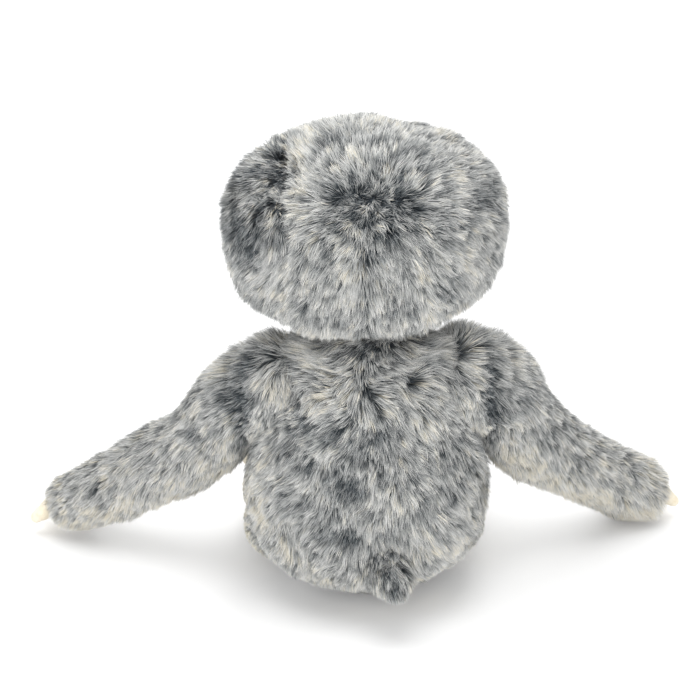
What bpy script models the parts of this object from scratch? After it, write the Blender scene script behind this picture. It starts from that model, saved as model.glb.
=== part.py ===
"""A sitting plush sloth: fur covers, stuffing, face pieces and claws as separate solids.

Metres, +Z up. The sloth faces -Y and its left side is +X. The origin is the middle of the
flat under its seat. Every stuffed root is a ball in a round socket, so that it turns clear
of what it is sewn into, and every pivot is an empty in the middle of its ball.
"""
import math

import bmesh
import bpy
from mathutils import Matrix, Vector

# Cloth thicknesses and the room between pieces
FUR_WALL = 0.0070
PLUSH_WALL = 0.0019
PLUSH_INSET = 0.0045
PATCH_WALL = 0.0010
LINING_WALL = 0.0012
SEWN_GAP = 0.0004
LINING_GAP = 0.0005
SOCKET_GAP = 0.0008
SWEEP_GAP = 0.0009
BALL_TRIM = 0.0002
CUT_OVERRUN = 0.0040

# Torso: an egg with a round neck on top and a small flat underneath
TORSO_HALF_WIDTH = 0.0620
TORSO_HALF_DEPTH = 0.0540
TORSO_WAIST_HEIGHT = 0.0500
TORSO_UPPER_HEIGHT = 0.1000
TORSO_LOWER_POWER = 2.5
SEAT_FLAT_DEPTH = 0.0005
NECK_RADIUS = 0.0370
NECK_HEIGHT_SHARE = 0.66
NECK_FORWARD = 0.0020
NECK_HOLE_RADIUS = 0.0130
NECK_PATCH_RADIUS = 0.0190
PELLET_LEVEL_SHARE = 0.62
NECK_FOOT_DROP = 0.0045
LOWEST_RING_SHARE = 0.35

# Head: a wide round form that sits over the neck
HEAD_HALF_WIDTH = 0.0730
HEAD_FRONT_DEPTH = 0.0520
HEAD_BACK_DEPTH = 0.0560
HEAD_LOWER_HEIGHT = 0.0570
HEAD_UPPER_HEIGHT = 0.0550
HEAD_LOWER_POWER = 2.5
HEAD_UPPER_POWER = 2.1
HEAD_SEAT_DEPTH = 0.0140
HEAD_FORWARD = 0.0080

# Panels of short pile in the front of the head and the belly
FACE_HALF_WIDTH = 0.0440
FACE_HALF_HEIGHT = 0.0350
FACE_DROP = 0.0100
BELLY_HALF_WIDTH = 0.0320
BELLY_HALF_HEIGHT = 0.0340
BELLY_RISE = 0.0200

# Muzzle, nose and mouth
MUZZLE_HALF_WIDTH = 0.0180
MUZZLE_HALF_HEIGHT = 0.0130
MUZZLE_DEPTH = 0.0120
MUZZLE_DROP = 0.0110
NOSE_HALF_WIDTH = 0.0075
NOSE_HALF_HEIGHT = 0.0048
NOSE_HALF_DEPTH = 0.0042
NOSE_RISE_SHARE = 0.52
MOUTH_THREAD_RADIUS = 0.0008
MOUTH_WIDTH_SHARE = 0.62
MOUTH_DROP_SHARE = 0.30
MOUTH_SAG_SHARE = 0.30

# Eyes, their patches and the washers that lock them
EYE_SPREAD = 0.0215
EYE_RISE = 0.0060
EYE_RADIUS = 0.0050
EYE_HEIGHT = 0.0034
EYE_RIM = 0.0007
EYE_SEAT_GAP = 0.0005
SHANK_RADIUS = 0.0017
SHANK_END = 0.0010
WASHER_RADIUS = 0.0055
WASHER_WALL = 0.0014
WASHER_SEAT_GAP = 0.0008
EYE_PATCH_SHIFT = 0.0050
EYE_PATCH_HALF_LENGTH = 0.0165
EYE_PATCH_HALF_WIDTH = 0.0088
EYE_PATCH_TAPER_SHARE = 0.25
EYE_PATCH_TILT = math.radians(28)

# Openings behind limb roots and the patches that close them, as shares of the root
ROOT_HOLE_SHARE = 0.50
ROOT_PATCH_SHARE = 0.62

# Arms: from the shoulder down to a hand that lies on the ground
SHOULDER_HEIGHT_SHARE = 0.60
SHOULDER_SINK = 0.0045
SHOULDER_FORWARD = 0.0050
ARM_ROOT_RADIUS = 0.0265
ARM_NECK_INSET = 0.0010
ARM_ELBOW_RADIUS = 0.0220
ARM_WRIST_RADIUS = 0.0195
HAND_RADIUS = 0.0190
HAND_LIFT = 0.0006
ARM_REACH = 0.1300
ARM_REACH_SHARES = (0.0, 0.18, 0.40, 0.75, 1.0)
ARM_DROP_SHARES = (0.0, 0.12, 0.46, 0.78, 1.0)
LEFT_ARM_YAW = math.radians(35)
RIGHT_ARM_YAW = math.radians(37)
ARM_SWING_BACK = math.radians(45)
ARM_SWING_FORWARD = math.radians(20)
FLANK_TOP_SHARE = 1.10

# Legs: from the lower front corners of the torso straight forward
HIP_SPREAD = 0.0440
HIP_HEIGHT = 0.0260
HIP_SINK = 0.0010
LEG_ROOT_RADIUS = 0.0230
LEG_NECK_INSET = 0.0070
LEG_KNEE_RADIUS = 0.0180
FOOT_RADIUS = 0.0195
FOOT_LIFT = 0.0006
LEG_REACH = 0.0620
LEG_REACH_SHARES = (0.0, 0.50, 0.80, 1.0)
LEG_DROP_SHARES = (0.0, 0.20, 0.70, 1.0)
LEG_YAW = math.radians(3)

# Tail: a short nub low on the back, a little to one side
TAIL_OFFSET = 0.0070
TAIL_DROP = 0.0150
TAIL_SINK = 0.0030
TAIL_ROOT_RADIUS = 0.0145
TAIL_NECK_INSET = 0.0025
TAIL_RADIUS = 0.0125
TAIL_LENGTH = 0.0110
TAIL_TIP_SHARE = 0.75
TAIL_SLOPE = math.radians(8)
TAIL_YAW = math.radians(6)

# Claws: three blunt ones sewn into each hand and foot
CLAW_HALF_WIDTH = 0.0052
CLAW_THICKNESS_SHARE = 0.80
CLAW_LENGTH = 0.0110
CLAW_ROOT = 0.0058
CLAW_BEND = math.radians(26)
CLAW_FAN = math.radians(34)
CLAW_RADIUS_SHARES = (0.85, 1.0, 0.98, 0.82)
HAND_CLAW_PITCH = math.radians(-18)
FOOT_CLAW_PITCH = math.radians(30)

# How finely the round shapes are divided
BODY_SIDES = 24
INNER_SIDES = 16
TORSO_STEPS = 5
TORSO_INNER_STEPS = 4
NECK_STEPS = 4
NECK_INNER_STEPS = 2
HEAD_STEPS = 7
HEAD_INNER_STEPS = 4
ARM_SIDES = 14
ARM_INNER_SIDES = 10
ARM_STEPS = 2
LEG_SIDES = 12
LEG_INNER_SIDES = 10
LEG_STEPS = 2
BALL_SIDES = 18
SOCKET_SIDES = 24
FLANK_STEPS = 6
FLANK_TURNS = 8
SMALL_SIDES = 12
PATCH_SIDES = 16
HOLE_SIDES = 10
MUZZLE_SIDES = 18
TAIL_SOCKET_SIDES = 14
FACE_CUT_SIDES = 56
FACE_CUT_STEPS = 16
CLAW_SIDES = 8
THREAD_SIDES = 6
MOUTH_POINTS = 9
EYE_STEPS = 4
EYE_PATCH_RINGS = 2
PANEL_SIDES = 24
PANEL_RINGS = 3
BALL_STEP_ANGLE = math.radians(18)
NECK_CUT_ANGLE = math.radians(78)
SHARP_ANGLE = math.radians(35)

UP = Vector((0.0, 0.0, 1.0))
RIGHTWARD = Vector((1.0, 0.0, 0.0))
FORWARD = Vector((0.0, -1.0, 0.0))
SIDES = {"left": 1, "right": -1}

MATERIALS = {
    "grey_fur": ((0.42, 0.43, 0.42), 0.95),
    "cream_plush": ((0.78, 0.70, 0.56), 0.92),
    "dark_plush": ((0.13, 0.10, 0.09), 0.90),
    "black_plastic": ((0.01, 0.01, 0.01), 0.12),
    "brown_satin": ((0.11, 0.06, 0.04), 0.45),
    "clear_plastic": ((0.85, 0.85, 0.83), 0.40),
    "cream_suede": ((0.80, 0.74, 0.62), 0.85),
    "white_fibre": ((0.90, 0.90, 0.88), 0.95),
    "pellet_cloth": ((0.75, 0.75, 0.72), 0.90),
    "cotton_lining": ((0.70, 0.68, 0.62), 0.90),
    "dark_thread": ((0.09, 0.06, 0.05), 0.70),
}


def clear_scene():
    """Removes what the opened scene already holds."""
    for thing in list(bpy.data.objects):
        bpy.data.objects.remove(thing, do_unlink=True)


def material(name):
    """The named material, made once."""
    found = bpy.data.materials.get(name)
    if found:
        return found
    colour, roughness = MATERIALS[name]
    made = bpy.data.materials.new(name)
    made.use_nodes = True
    shader = made.node_tree.nodes["Principled BSDF"]
    shader.inputs["Base Color"].default_value = (*colour, 1.0)
    shader.inputs["Roughness"].default_value = roughness
    shader.inputs["Metallic"].default_value = 0.0
    return made


# Building blocks


def solid_from(name, rings, start=None, end=None):
    """Skins rings of equal length; an end is closed by its pole point, or flat."""
    mesh_builder = bmesh.new()
    rows = [[mesh_builder.verts.new(point) for point in ring] for ring in rings]
    for row, following in zip(rows, rows[1:]):
        for index in range(len(row)):
            after = (index + 1) % len(row)
            mesh_builder.faces.new((row[index], row[after], following[after], following[index]))
    for row, pole in ((rows[0], start), (rows[-1], end)):
        if pole is None:
            mesh_builder.faces.new(row)
            continue
        tip = mesh_builder.verts.new(pole)
        for index in range(len(row)):
            mesh_builder.faces.new((row[index], row[(index + 1) % len(row)], tip))
    bmesh.ops.recalc_face_normals(mesh_builder, faces=mesh_builder.faces)
    mesh = bpy.data.meshes.new(name)
    mesh_builder.to_mesh(mesh)
    mesh_builder.free()
    made = bpy.data.objects.new(name, mesh)
    bpy.context.scene.collection.objects.link(made)
    return made


def level_ring(height, half_width, front, back, centre_y, sides):
    """A level ring whose front and back depths may differ."""
    ring = []
    for index in range(sides):
        angle = math.tau * index / sides
        depth = back if math.sin(angle) > 0 else front
        place = (half_width * math.cos(angle), centre_y + depth * math.sin(angle), height)
        ring.append(Vector(place))
    return ring


def ball(name, centre, radius, axis, sides=BALL_SIDES):
    """A round ball with its poles on an axis."""
    steps = sides // 2
    profile = [(0.0, -radius)]
    for step in range(1, steps):
        angle = math.pi * step / steps
        profile.append((radius * math.sin(angle), -radius * math.cos(angle)))
    profile.append((0.0, radius))
    return turned(name, centre, axis, profile, sides)


def socket(name, centre, radius, axis, sides=SOCKET_SIDES):
    """The cutter of a round socket, whose flats all lie outside the radius."""
    return ball(name, centre, radius / math.cos(math.pi / sides) ** 2, axis, sides)


def ellipsoid(name, centre, radii, sides):
    """An ellipsoid with its poles above and below."""
    rings = []
    steps = sides // 2
    for step in range(1, steps):
        angle = math.pi * step / steps
        rings.append(level_ring(
            centre.z - radii.z * math.cos(angle), radii.x * math.sin(angle),
            radii.y * math.sin(angle), radii.y * math.sin(angle), centre.y, sides))
    for ring in rings:
        for point in ring:
            point.x += centre.x
    return solid_from(name, rings, centre - UP * radii.z, centre + UP * radii.z)


def path_tangents(points):
    """Unit directions along a path."""
    tangents = []
    for index in range(len(points)):
        before = points[max(index - 1, 0)]
        after = points[min(index + 1, len(points) - 1)]
        tangents.append((after - before).normalized())
    return tangents


def tube(name, points, radii, reference, sides, flat_share=1.0, cap_steps=2):
    """A tube of changing radius along a path, with round ends."""
    tangents = path_tangents(points)
    stations = []
    for step in range(1, cap_steps + 1):
        angle = 0.5 * math.pi * step / (cap_steps + 1)
        back = radii[0] * math.cos(angle)
        stations.append((points[0] - tangents[0] * back, tangents[0], radii[0] * math.sin(angle)))
    stations += list(zip(points, tangents, radii))
    for step in range(cap_steps, 0, -1):
        angle = 0.5 * math.pi * step / (cap_steps + 1)
        ahead = radii[-1] * math.cos(angle)
        stations.append((points[-1] + tangents[-1] * ahead, tangents[-1], radii[-1] * math.sin(angle)))
    rings = []
    for centre, tangent, radius in stations:
        across = (reference - tangent * reference.dot(tangent)).normalized()
        rise = tangent.cross(across)
        ring = []
        for index in range(sides):
            angle = math.tau * index / sides
            ring.append(centre + across * (radius * math.cos(angle))
                        + rise * (radius * flat_share * math.sin(angle)))
        rings.append(ring)
    start = points[0] - tangents[0] * radii[0]
    end = points[-1] + tangents[-1] * radii[-1]
    return solid_from(name, rings, start, end)


def cylinder(name, start, end, radius, sides, half_height=None):
    """A straight cutter from start to end; half_height makes it oval upwards."""
    along = (end - start).normalized()
    reference = UP if abs(along.z) < 0.9 else RIGHTWARD
    rise = (reference - along * reference.dot(along)).normalized()
    across = along.cross(rise)
    rings = []
    for centre in (start, end):
        ring = []
        for index in range(sides):
            angle = math.tau * index / sides
            ring.append(centre + across * (radius * math.cos(angle))
                        + rise * ((half_height or radius) * math.sin(angle)))
        rings.append(ring)
    return solid_from(name, rings)


def turned(name, base, axis, profile, sides):
    """Turns (radius, height) points about an axis through base."""
    reference = RIGHTWARD if abs(axis.x) < 0.9 else UP
    across = (reference - axis * reference.dot(axis)).normalized()
    rise = axis.cross(across)
    rings = []
    for radius, height in profile:
        if radius == 0.0:
            continue
        ring = []
        for index in range(sides):
            angle = math.tau * index / sides
            ring.append(base + axis * height + across * (radius * math.cos(angle))
                        + rise * (radius * math.sin(angle)))
        rings.append(ring)
    start = base + axis * profile[0][1] if profile[0][0] == 0.0 else None
    end = base + axis * profile[-1][1] if profile[-1][0] == 0.0 else None
    return solid_from(name, rings, start, end)


def smooth_points(points, steps):
    """A smooth curve through the points, with steps places between neighbours."""
    width = len(points[0])
    padded = [[2 * points[0][k] - points[1][k] for k in range(width)], *points,
              [2 * points[-1][k] - points[-2][k] for k in range(width)]]
    curve = []
    for index in range(1, len(padded) - 2):
        p0, p1, p2, p3 = padded[index - 1:index + 3]
        for step in range(steps):
            t = step / steps
            curve.append([
                0.5 * (2 * p1[k] + (p2[k] - p0[k]) * t
                       + (2 * p0[k] - 5 * p1[k] + 4 * p2[k] - p3[k]) * t ** 2
                       + (3 * p1[k] - p0[k] - 3 * p2[k] + p3[k]) * t ** 3)
                for k in range(width)])
    curve.append(list(points[-1]))
    return curve


def keep_beyond(target, height, kept):
    """Keeps the part of a closed form that lies beyond a level, and closes it flat there."""
    mesh_builder = bmesh.new()
    mesh_builder.from_mesh(target.data)
    everything = mesh_builder.verts[:] + mesh_builder.edges[:] + mesh_builder.faces[:]
    cut = bmesh.ops.bisect_plane(mesh_builder, geom=everything, plane_co=UP * height,
                                 plane_no=kept, clear_inner=True)
    rim = [part for part in cut["geom_cut"] if isinstance(part, bmesh.types.BMEdge)]
    bmesh.ops.edgeloop_fill(mesh_builder, edges=rim)
    bmesh.ops.recalc_face_normals(mesh_builder, faces=mesh_builder.faces)
    mesh_builder.to_mesh(target.data)
    mesh_builder.free()


def carve(target, *cutters):
    """Cuts the cutters out of the target and removes them."""
    for cutter in cutters:
        cutter.display_type = "WIRE"
        cutter.hide_render = True
        boolean = target.modifiers.new("cut", "BOOLEAN")
        boolean.operation = "DIFFERENCE"
        boolean.solver = "EXACT"
        boolean.object = cutter
        graph = bpy.context.evaluated_depsgraph_get()
        cut_mesh = bpy.data.meshes.new_from_object(target.evaluated_get(graph))
        target.modifiers.clear()
        target.data = cut_mesh
    for cutter in cutters:
        bpy.data.objects.remove(cutter, do_unlink=True)
    return target


def finish(thing, material_name, pivot=None):
    """Gives a piece its material and smooth shading, and hangs it on its pivot."""
    mesh = thing.data
    mesh.name = thing.name
    mesh.materials.clear()
    mesh.materials.append(material(material_name))
    mesh.shade_smooth()
    mesh.set_sharp_from_angle(angle=SHARP_ANGLE)
    if pivot:
        mesh.transform(Matrix.Translation(-pivot.location))
        thing.parent = pivot
    return thing


def make_pivot(name, place):
    """An empty in the middle of a ball root."""
    pivot = bpy.data.objects.new(name, None)
    pivot.location = place
    pivot.empty_display_size = NECK_RADIUS
    bpy.context.scene.collection.objects.link(pivot)
    return pivot


# Torso


def torso_share(height, inset=0.0):
    """How much of its greatest width the torso has at a height."""
    if height >= TORSO_WAIST_HEIGHT:
        rise = min((height - TORSO_WAIST_HEIGHT) / (TORSO_UPPER_HEIGHT - inset), 1.0)
        return math.sqrt(1.0 - rise ** 2)
    lowest = TORSO_WAIST_HEIGHT + SEAT_FLAT_DEPTH - inset
    drop = min((TORSO_WAIST_HEIGHT - height) / lowest, 1.0)
    return (1.0 - drop ** TORSO_LOWER_POWER) ** (1.0 / TORSO_LOWER_POWER)


def torso_half_width(height, inset=0.0):
    """Half the torso's width at a height."""
    return (TORSO_HALF_WIDTH - inset) * torso_share(height, inset)


def torso_half_depth(height, inset=0.0):
    """Half the torso's depth at a height."""
    return (TORSO_HALF_DEPTH - inset) * torso_share(height, inset)


def torso_surface_y(across, height, inset=0.0):
    """Half the torso's depth at a place seen from the front."""
    spread = across / torso_half_width(height, inset)
    return torso_half_depth(height, inset) * math.sqrt(max(1.0 - spread ** 2, 0.0))


def neck_centre():
    """The middle of the round neck."""
    rise = TORSO_WAIST_HEIGHT + NECK_HEIGHT_SHARE * TORSO_UPPER_HEIGHT
    return Vector((0.0, -NECK_FORWARD, rise))


def torso_form(name, inset, sides, egg_steps, neck_steps, seat_height=0.0):
    """The torso's closed form at one depth below its pile."""
    neck = neck_centre()
    radius = NECK_RADIUS - inset
    lowest = TORSO_WAIST_HEIGHT + SEAT_FLAT_DEPTH - inset
    heights = []
    for step in range(egg_steps):
        drop = lowest * math.cos(0.5 * math.pi * (step + LOWEST_RING_SHARE) / egg_steps)
        heights.append(TORSO_WAIST_HEIGHT - drop)
    top = neck.z + radius * math.cos(NECK_CUT_ANGLE) - NECK_FOOT_DROP
    top_angle = math.asin((top - TORSO_WAIST_HEIGHT) / (TORSO_UPPER_HEIGHT - inset))
    for step in range(egg_steps + 1):
        angle = top_angle * step / egg_steps
        heights.append(TORSO_WAIST_HEIGHT + (TORSO_UPPER_HEIGHT - inset) * math.sin(angle))
    if inset == 0.0:
        heights = [seat_height] + [height for height in heights if height > seat_height]
    rings = []
    for height in heights:
        depth = torso_half_depth(height, inset)
        rings.append(level_ring(height, torso_half_width(height, inset), depth, depth, 0.0, sides))
    for step in range(neck_steps):
        angle = NECK_CUT_ANGLE * (1.0 - step / neck_steps)
        wide = radius * math.sin(angle)
        rings.append(level_ring(neck.z + radius * math.cos(angle), wide, wide, wide, neck.y, sides))
    start = None if inset == 0.0 else Vector((0.0, 0.0, TORSO_WAIST_HEIGHT - lowest))
    return solid_from(name, rings, start, neck + UP * radius)


def shoulder_centre(side):
    """The middle of an arm's ball root."""
    height = TORSO_WAIST_HEIGHT + SHOULDER_HEIGHT_SHARE * TORSO_UPPER_HEIGHT
    return Vector((side * (torso_half_width(height) - SHOULDER_SINK), -SHOULDER_FORWARD, height))


def hip_centre(side):
    """The middle of a leg's ball root."""
    front = torso_surface_y(HIP_SPREAD, HIP_HEIGHT)
    return Vector((side * HIP_SPREAD, HIP_SINK - front, HIP_HEIGHT))


def tail_centre():
    """The middle of the tail's ball root."""
    height = TORSO_WAIST_HEIGHT - TAIL_DROP
    back = torso_surface_y(TAIL_OFFSET, height)
    return Vector((-TAIL_OFFSET, back - TAIL_SINK, height))


def root_balls():
    """Cutters for the sockets of the limbs, with room for their patches, and of the tail."""
    cutters = []
    for side in SIDES.values():
        outward = RIGHTWARD * side
        cutters.append(socket("cut_shoulder", shoulder_centre(side),
                              ARM_ROOT_RADIUS + lining_room(), outward))
        cutters.append(socket("cut_hip", hip_centre(side), LEG_ROOT_RADIUS + lining_room(), outward))
    cutters.append(socket("cut_tail", tail_centre(), TAIL_ROOT_RADIUS + SOCKET_GAP, RIGHTWARD,
                          TAIL_SOCKET_SIDES))
    return cutters


def lining_room():
    """How much wider a socket is where a closing patch lies in it."""
    return 2 * LINING_GAP + LINING_WALL


def oval_cutter(name, middle, half_width, half_height):
    """A forward cutter for the opening of a front panel."""
    start = Vector((0.0, 0.0, middle))
    end = start + FORWARD * (TORSO_HALF_DEPTH + HEAD_FRONT_DEPTH)
    return cylinder(name, start, end, half_width, PANEL_SIDES, half_height)


def front_panel(name, middle, half_width, half_height, surface, outer, inner):
    """A curved oval plate between two depths of a form, seen from the front."""
    faces_out, faces_in = [], []
    for ring_index in range(1, PANEL_RINGS + 1):
        share = ring_index / PANEL_RINGS
        ring_out, ring_in = [], []
        for index in range(PANEL_SIDES):
            angle = math.tau * index / PANEL_SIDES
            across = half_width * share * math.cos(angle)
            height = middle + half_height * share * math.sin(angle)
            ring_out.append(Vector((across, surface(across, height, outer), height)))
            ring_in.append(Vector((across, surface(across, height, inner), height)))
        faces_out.append(ring_out)
        faces_in.append(ring_in)
    rings = faces_out + faces_in[::-1]
    start = Vector((0.0, surface(0.0, middle, outer), middle))
    end = Vector((0.0, surface(0.0, middle, inner), middle))
    return solid_from(name, rings, start, end)


def belly_middle():
    """The height of the belly panel's middle."""
    return TORSO_WAIST_HEIGHT + BELLY_RISE


def build_torso():
    """The torso's cover, belly panel, stuffing and pellet bag."""
    outer = torso_form("torso_cover", 0.0, BODY_SIDES, TORSO_STEPS, NECK_STEPS)
    inner = torso_form("cut_inside", FUR_WALL, INNER_SIDES, TORSO_INNER_STEPS, NECK_INNER_STEPS)
    neck = neck_centre()
    neck_top = neck + UP * (NECK_RADIUS + CUT_OVERRUN)
    neck_hole = cylinder("cut_neck_hole", neck, neck_top, NECK_HOLE_RADIUS, SMALL_SIDES)
    carve(outer, inner, neck_hole, *root_balls())
    carve(outer, oval_cutter("cut_belly", belly_middle(), BELLY_HALF_WIDTH + SEWN_GAP,
                             BELLY_HALF_HEIGHT + SEWN_GAP))
    finish(outer, "grey_fur")

    belly = front_panel("belly_panel", belly_middle(), BELLY_HALF_WIDTH, BELLY_HALF_HEIGHT,
                        lambda x, z, inset: -torso_surface_y(x, z, inset),
                        PLUSH_INSET, PLUSH_INSET + PLUSH_WALL)
    finish(belly, "cream_plush")

    level = TORSO_WAIST_HEIGHT * PELLET_LEVEL_SHARE
    for name, height, kept, finish_name in (
            ("torso_stuffing", level + SEWN_GAP, UP, "white_fibre"),
            ("pellet_bag", level, -UP, "pellet_cloth")):
        filling = torso_form(name, FUR_WALL + SEWN_GAP, INNER_SIDES, TORSO_INNER_STEPS,
                             NECK_INNER_STEPS)
        keep_beyond(filling, height, kept)
        carve(filling, *root_balls())
        finish(filling, finish_name)


def lining_cap(name, centre, direction, ball_radius, cap_radius):
    """A thin round patch that lies on a ball root."""
    inner = ball_radius + LINING_GAP
    outer = inner + LINING_WALL
    half_angle = math.asin(cap_radius / inner)
    steps = 2
    profile = [(0.0, outer)]
    for step in range(1, steps + 1):
        angle = half_angle * step / steps
        profile.append((outer * math.sin(angle), outer * math.cos(angle)))
    for step in range(steps, 0, -1):
        angle = half_angle * step / steps
        profile.append((inner * math.sin(angle), inner * math.cos(angle)))
    profile.append((0.0, inner))
    return turned(name, centre, direction, profile, PATCH_SIDES)


# Head


def head_centre():
    """The middle of the head, where it is widest."""
    bottom = neck_centre().z + NECK_RADIUS - HEAD_SEAT_DEPTH
    return Vector((0.0, -HEAD_FORWARD, bottom + HEAD_LOWER_HEIGHT))


def head_share(height, inset=0.0):
    """How much of its greatest width the head has at a height."""
    offset = height - head_centre().z
    reach, power = (HEAD_UPPER_HEIGHT, HEAD_UPPER_POWER)
    if offset < 0.0:
        reach, power = (HEAD_LOWER_HEIGHT, HEAD_LOWER_POWER)
    away = min(abs(offset) / (reach - inset), 1.0)
    return (1.0 - away ** power) ** (1.0 / power)


def head_front_y(across, height, inset=0.0):
    """Where the head's front lies at a place seen from the front."""
    share = head_share(height, inset)
    spread = across / (HEAD_HALF_WIDTH - inset)
    depth = (HEAD_FRONT_DEPTH - inset) * math.sqrt(max(share ** 2 - spread ** 2, 0.0))
    return head_centre().y - depth


def head_form(name, inset, sides, steps):
    """The head's closed form at one depth below its pile."""
    centre = head_centre()
    rings = []
    for step in range(1, 2 * steps):
        angle = 0.5 * math.pi * step / steps
        reach = HEAD_LOWER_HEIGHT if angle < 0.5 * math.pi else HEAD_UPPER_HEIGHT
        height = centre.z - (reach - inset) * math.cos(angle)
        share = head_share(height, inset)
        rings.append(level_ring(height, (HEAD_HALF_WIDTH - inset) * share,
                                (HEAD_FRONT_DEPTH - inset) * share,
                                (HEAD_BACK_DEPTH - inset) * share, centre.y, sides))
    bottom = centre - UP * (HEAD_LOWER_HEIGHT - inset)
    top = centre + UP * (HEAD_UPPER_HEIGHT - inset)
    return solid_from(name, rings, bottom, top)


def face_middle():
    """The height of the face panel's middle."""
    return head_centre().z - FACE_DROP


def neck_socket():
    """The cutter of the round seat of the head on the neck."""
    return socket("cut_neck", neck_centre(), NECK_RADIUS + lining_room(), RIGHTWARD)


def eye_frame(side):
    """The eye's place on its patch and the direction it looks in."""
    across, height = side * EYE_SPREAD, face_middle() + EYE_RISE
    inset = PLUSH_INSET - SEWN_GAP - PATCH_WALL
    place = Vector((across, head_front_y(across, height, inset), height))
    step = SHANK_RADIUS
    slope_x = head_front_y(across + step, height, inset) - head_front_y(across - step, height, inset)
    slope_z = head_front_y(across, height + step, inset) - head_front_y(across, height - step, inset)
    normal = Vector((slope_x, -2 * step, slope_z)).normalized()
    return place, normal


def eye_depths():
    """Depths behind the eye patch: the panel's back, the washer's back, the shank's end."""
    panel_back = PATCH_WALL + SEWN_GAP + PLUSH_WALL
    washer_back = panel_back + WASHER_SEAT_GAP + WASHER_WALL
    return panel_back, washer_back, washer_back + SHANK_END


def eye_room(side):
    """The cutter for the shank and washer in the stuffing behind the face."""
    place, normal = eye_frame(side)
    shank_end = eye_depths()[2] + WASHER_SEAT_GAP
    return cylinder("cut_eye_room", place, place - normal * shank_end,
                    WASHER_RADIUS + SEWN_GAP, SMALL_SIDES)


def shank_hole(side):
    """The cutter of an eye shank's hole in the face."""
    place, normal = eye_frame(side)
    return cylinder("cut_shank", place + normal * CUT_OVERRUN, place - normal * FUR_WALL,
                    SHANK_RADIUS + SEWN_GAP, HOLE_SIDES)


def muzzle_form(name, extra=0.0):
    """The muzzle's rounded form, which the face then cuts."""
    middle = face_middle() - MUZZLE_DROP
    centre = Vector((0.0, head_front_y(0.0, middle, PLUSH_INSET), middle))
    radii = Vector((MUZZLE_HALF_WIDTH + extra, MUZZLE_DEPTH + extra, MUZZLE_HALF_HEIGHT + extra))
    return ellipsoid(name, centre, radii, MUZZLE_SIDES)


def muzzle_front(across_share, rise_share, proud=0.0):
    """A place on the muzzle's front, from shares of its half sizes."""
    middle = face_middle() - MUZZLE_DROP
    depth = math.sqrt(max(1.0 - across_share ** 2 - rise_share ** 2, 0.0)) * MUZZLE_DEPTH
    return Vector((across_share * MUZZLE_HALF_WIDTH,
                   head_front_y(0.0, middle, PLUSH_INSET) - depth - proud,
                   middle + rise_share * MUZZLE_HALF_HEIGHT))


def build_head(pivot):
    """Everything that turns with the head."""
    cover = head_form("head_cover", 0.0, BODY_SIDES, HEAD_STEPS)
    carve(cover, head_form("cut_inside", FUR_WALL, INNER_SIDES, HEAD_INNER_STEPS), neck_socket())
    carve(cover, oval_cutter("cut_face", face_middle(), FACE_HALF_WIDTH + SEWN_GAP,
                             FACE_HALF_HEIGHT + SEWN_GAP))
    finish(cover, "grey_fur", pivot)

    stuffing = head_form("head_stuffing", FUR_WALL + SEWN_GAP, INNER_SIDES, HEAD_INNER_STEPS)
    carve(stuffing, neck_socket(), *(eye_room(side) for side in SIDES.values()))
    finish(stuffing, "white_fibre", pivot)

    face = front_panel("face_panel", face_middle(), FACE_HALF_WIDTH, FACE_HALF_HEIGHT,
                       head_front_y, PLUSH_INSET, PLUSH_INSET + PLUSH_WALL)
    carve(face, *(shank_hole(side) for side in SIDES.values()))
    finish(face, "cream_plush", pivot)

    muzzle = muzzle_form("muzzle")
    carve(muzzle, head_form("cut_face_surface", PLUSH_INSET - 2 * SEWN_GAP, FACE_CUT_SIDES,
                            FACE_CUT_STEPS))
    finish(muzzle, "cream_plush", pivot)

    nose_place = muzzle_front(0.0, NOSE_RISE_SHARE)
    nose = ellipsoid("nose", nose_place,
                     Vector((NOSE_HALF_WIDTH, NOSE_HALF_DEPTH, NOSE_HALF_HEIGHT)), SMALL_SIDES)
    carve(nose, muzzle_form("cut_muzzle", 2 * SEWN_GAP))
    finish(nose, "brown_satin", pivot)

    proud = SEWN_GAP + MOUTH_THREAD_RADIUS
    smile = []
    for step in range(MOUTH_POINTS):
        along = 2 * step / (MOUTH_POINTS - 1) - 1.0
        rise = -MOUTH_DROP_SHARE - MOUTH_SAG_SHARE * (1.0 - along ** 2)
        smile.append(muzzle_front(along * MOUTH_WIDTH_SHARE, rise, proud))
    mouth = tube("mouth_stitching", smile, [MOUTH_THREAD_RADIUS] * len(smile), FORWARD,
                 THREAD_SIDES, cap_steps=1)
    finish(mouth, "dark_thread", pivot)
    for name, side in SIDES.items():
        build_eye(name, side, pivot)


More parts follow.
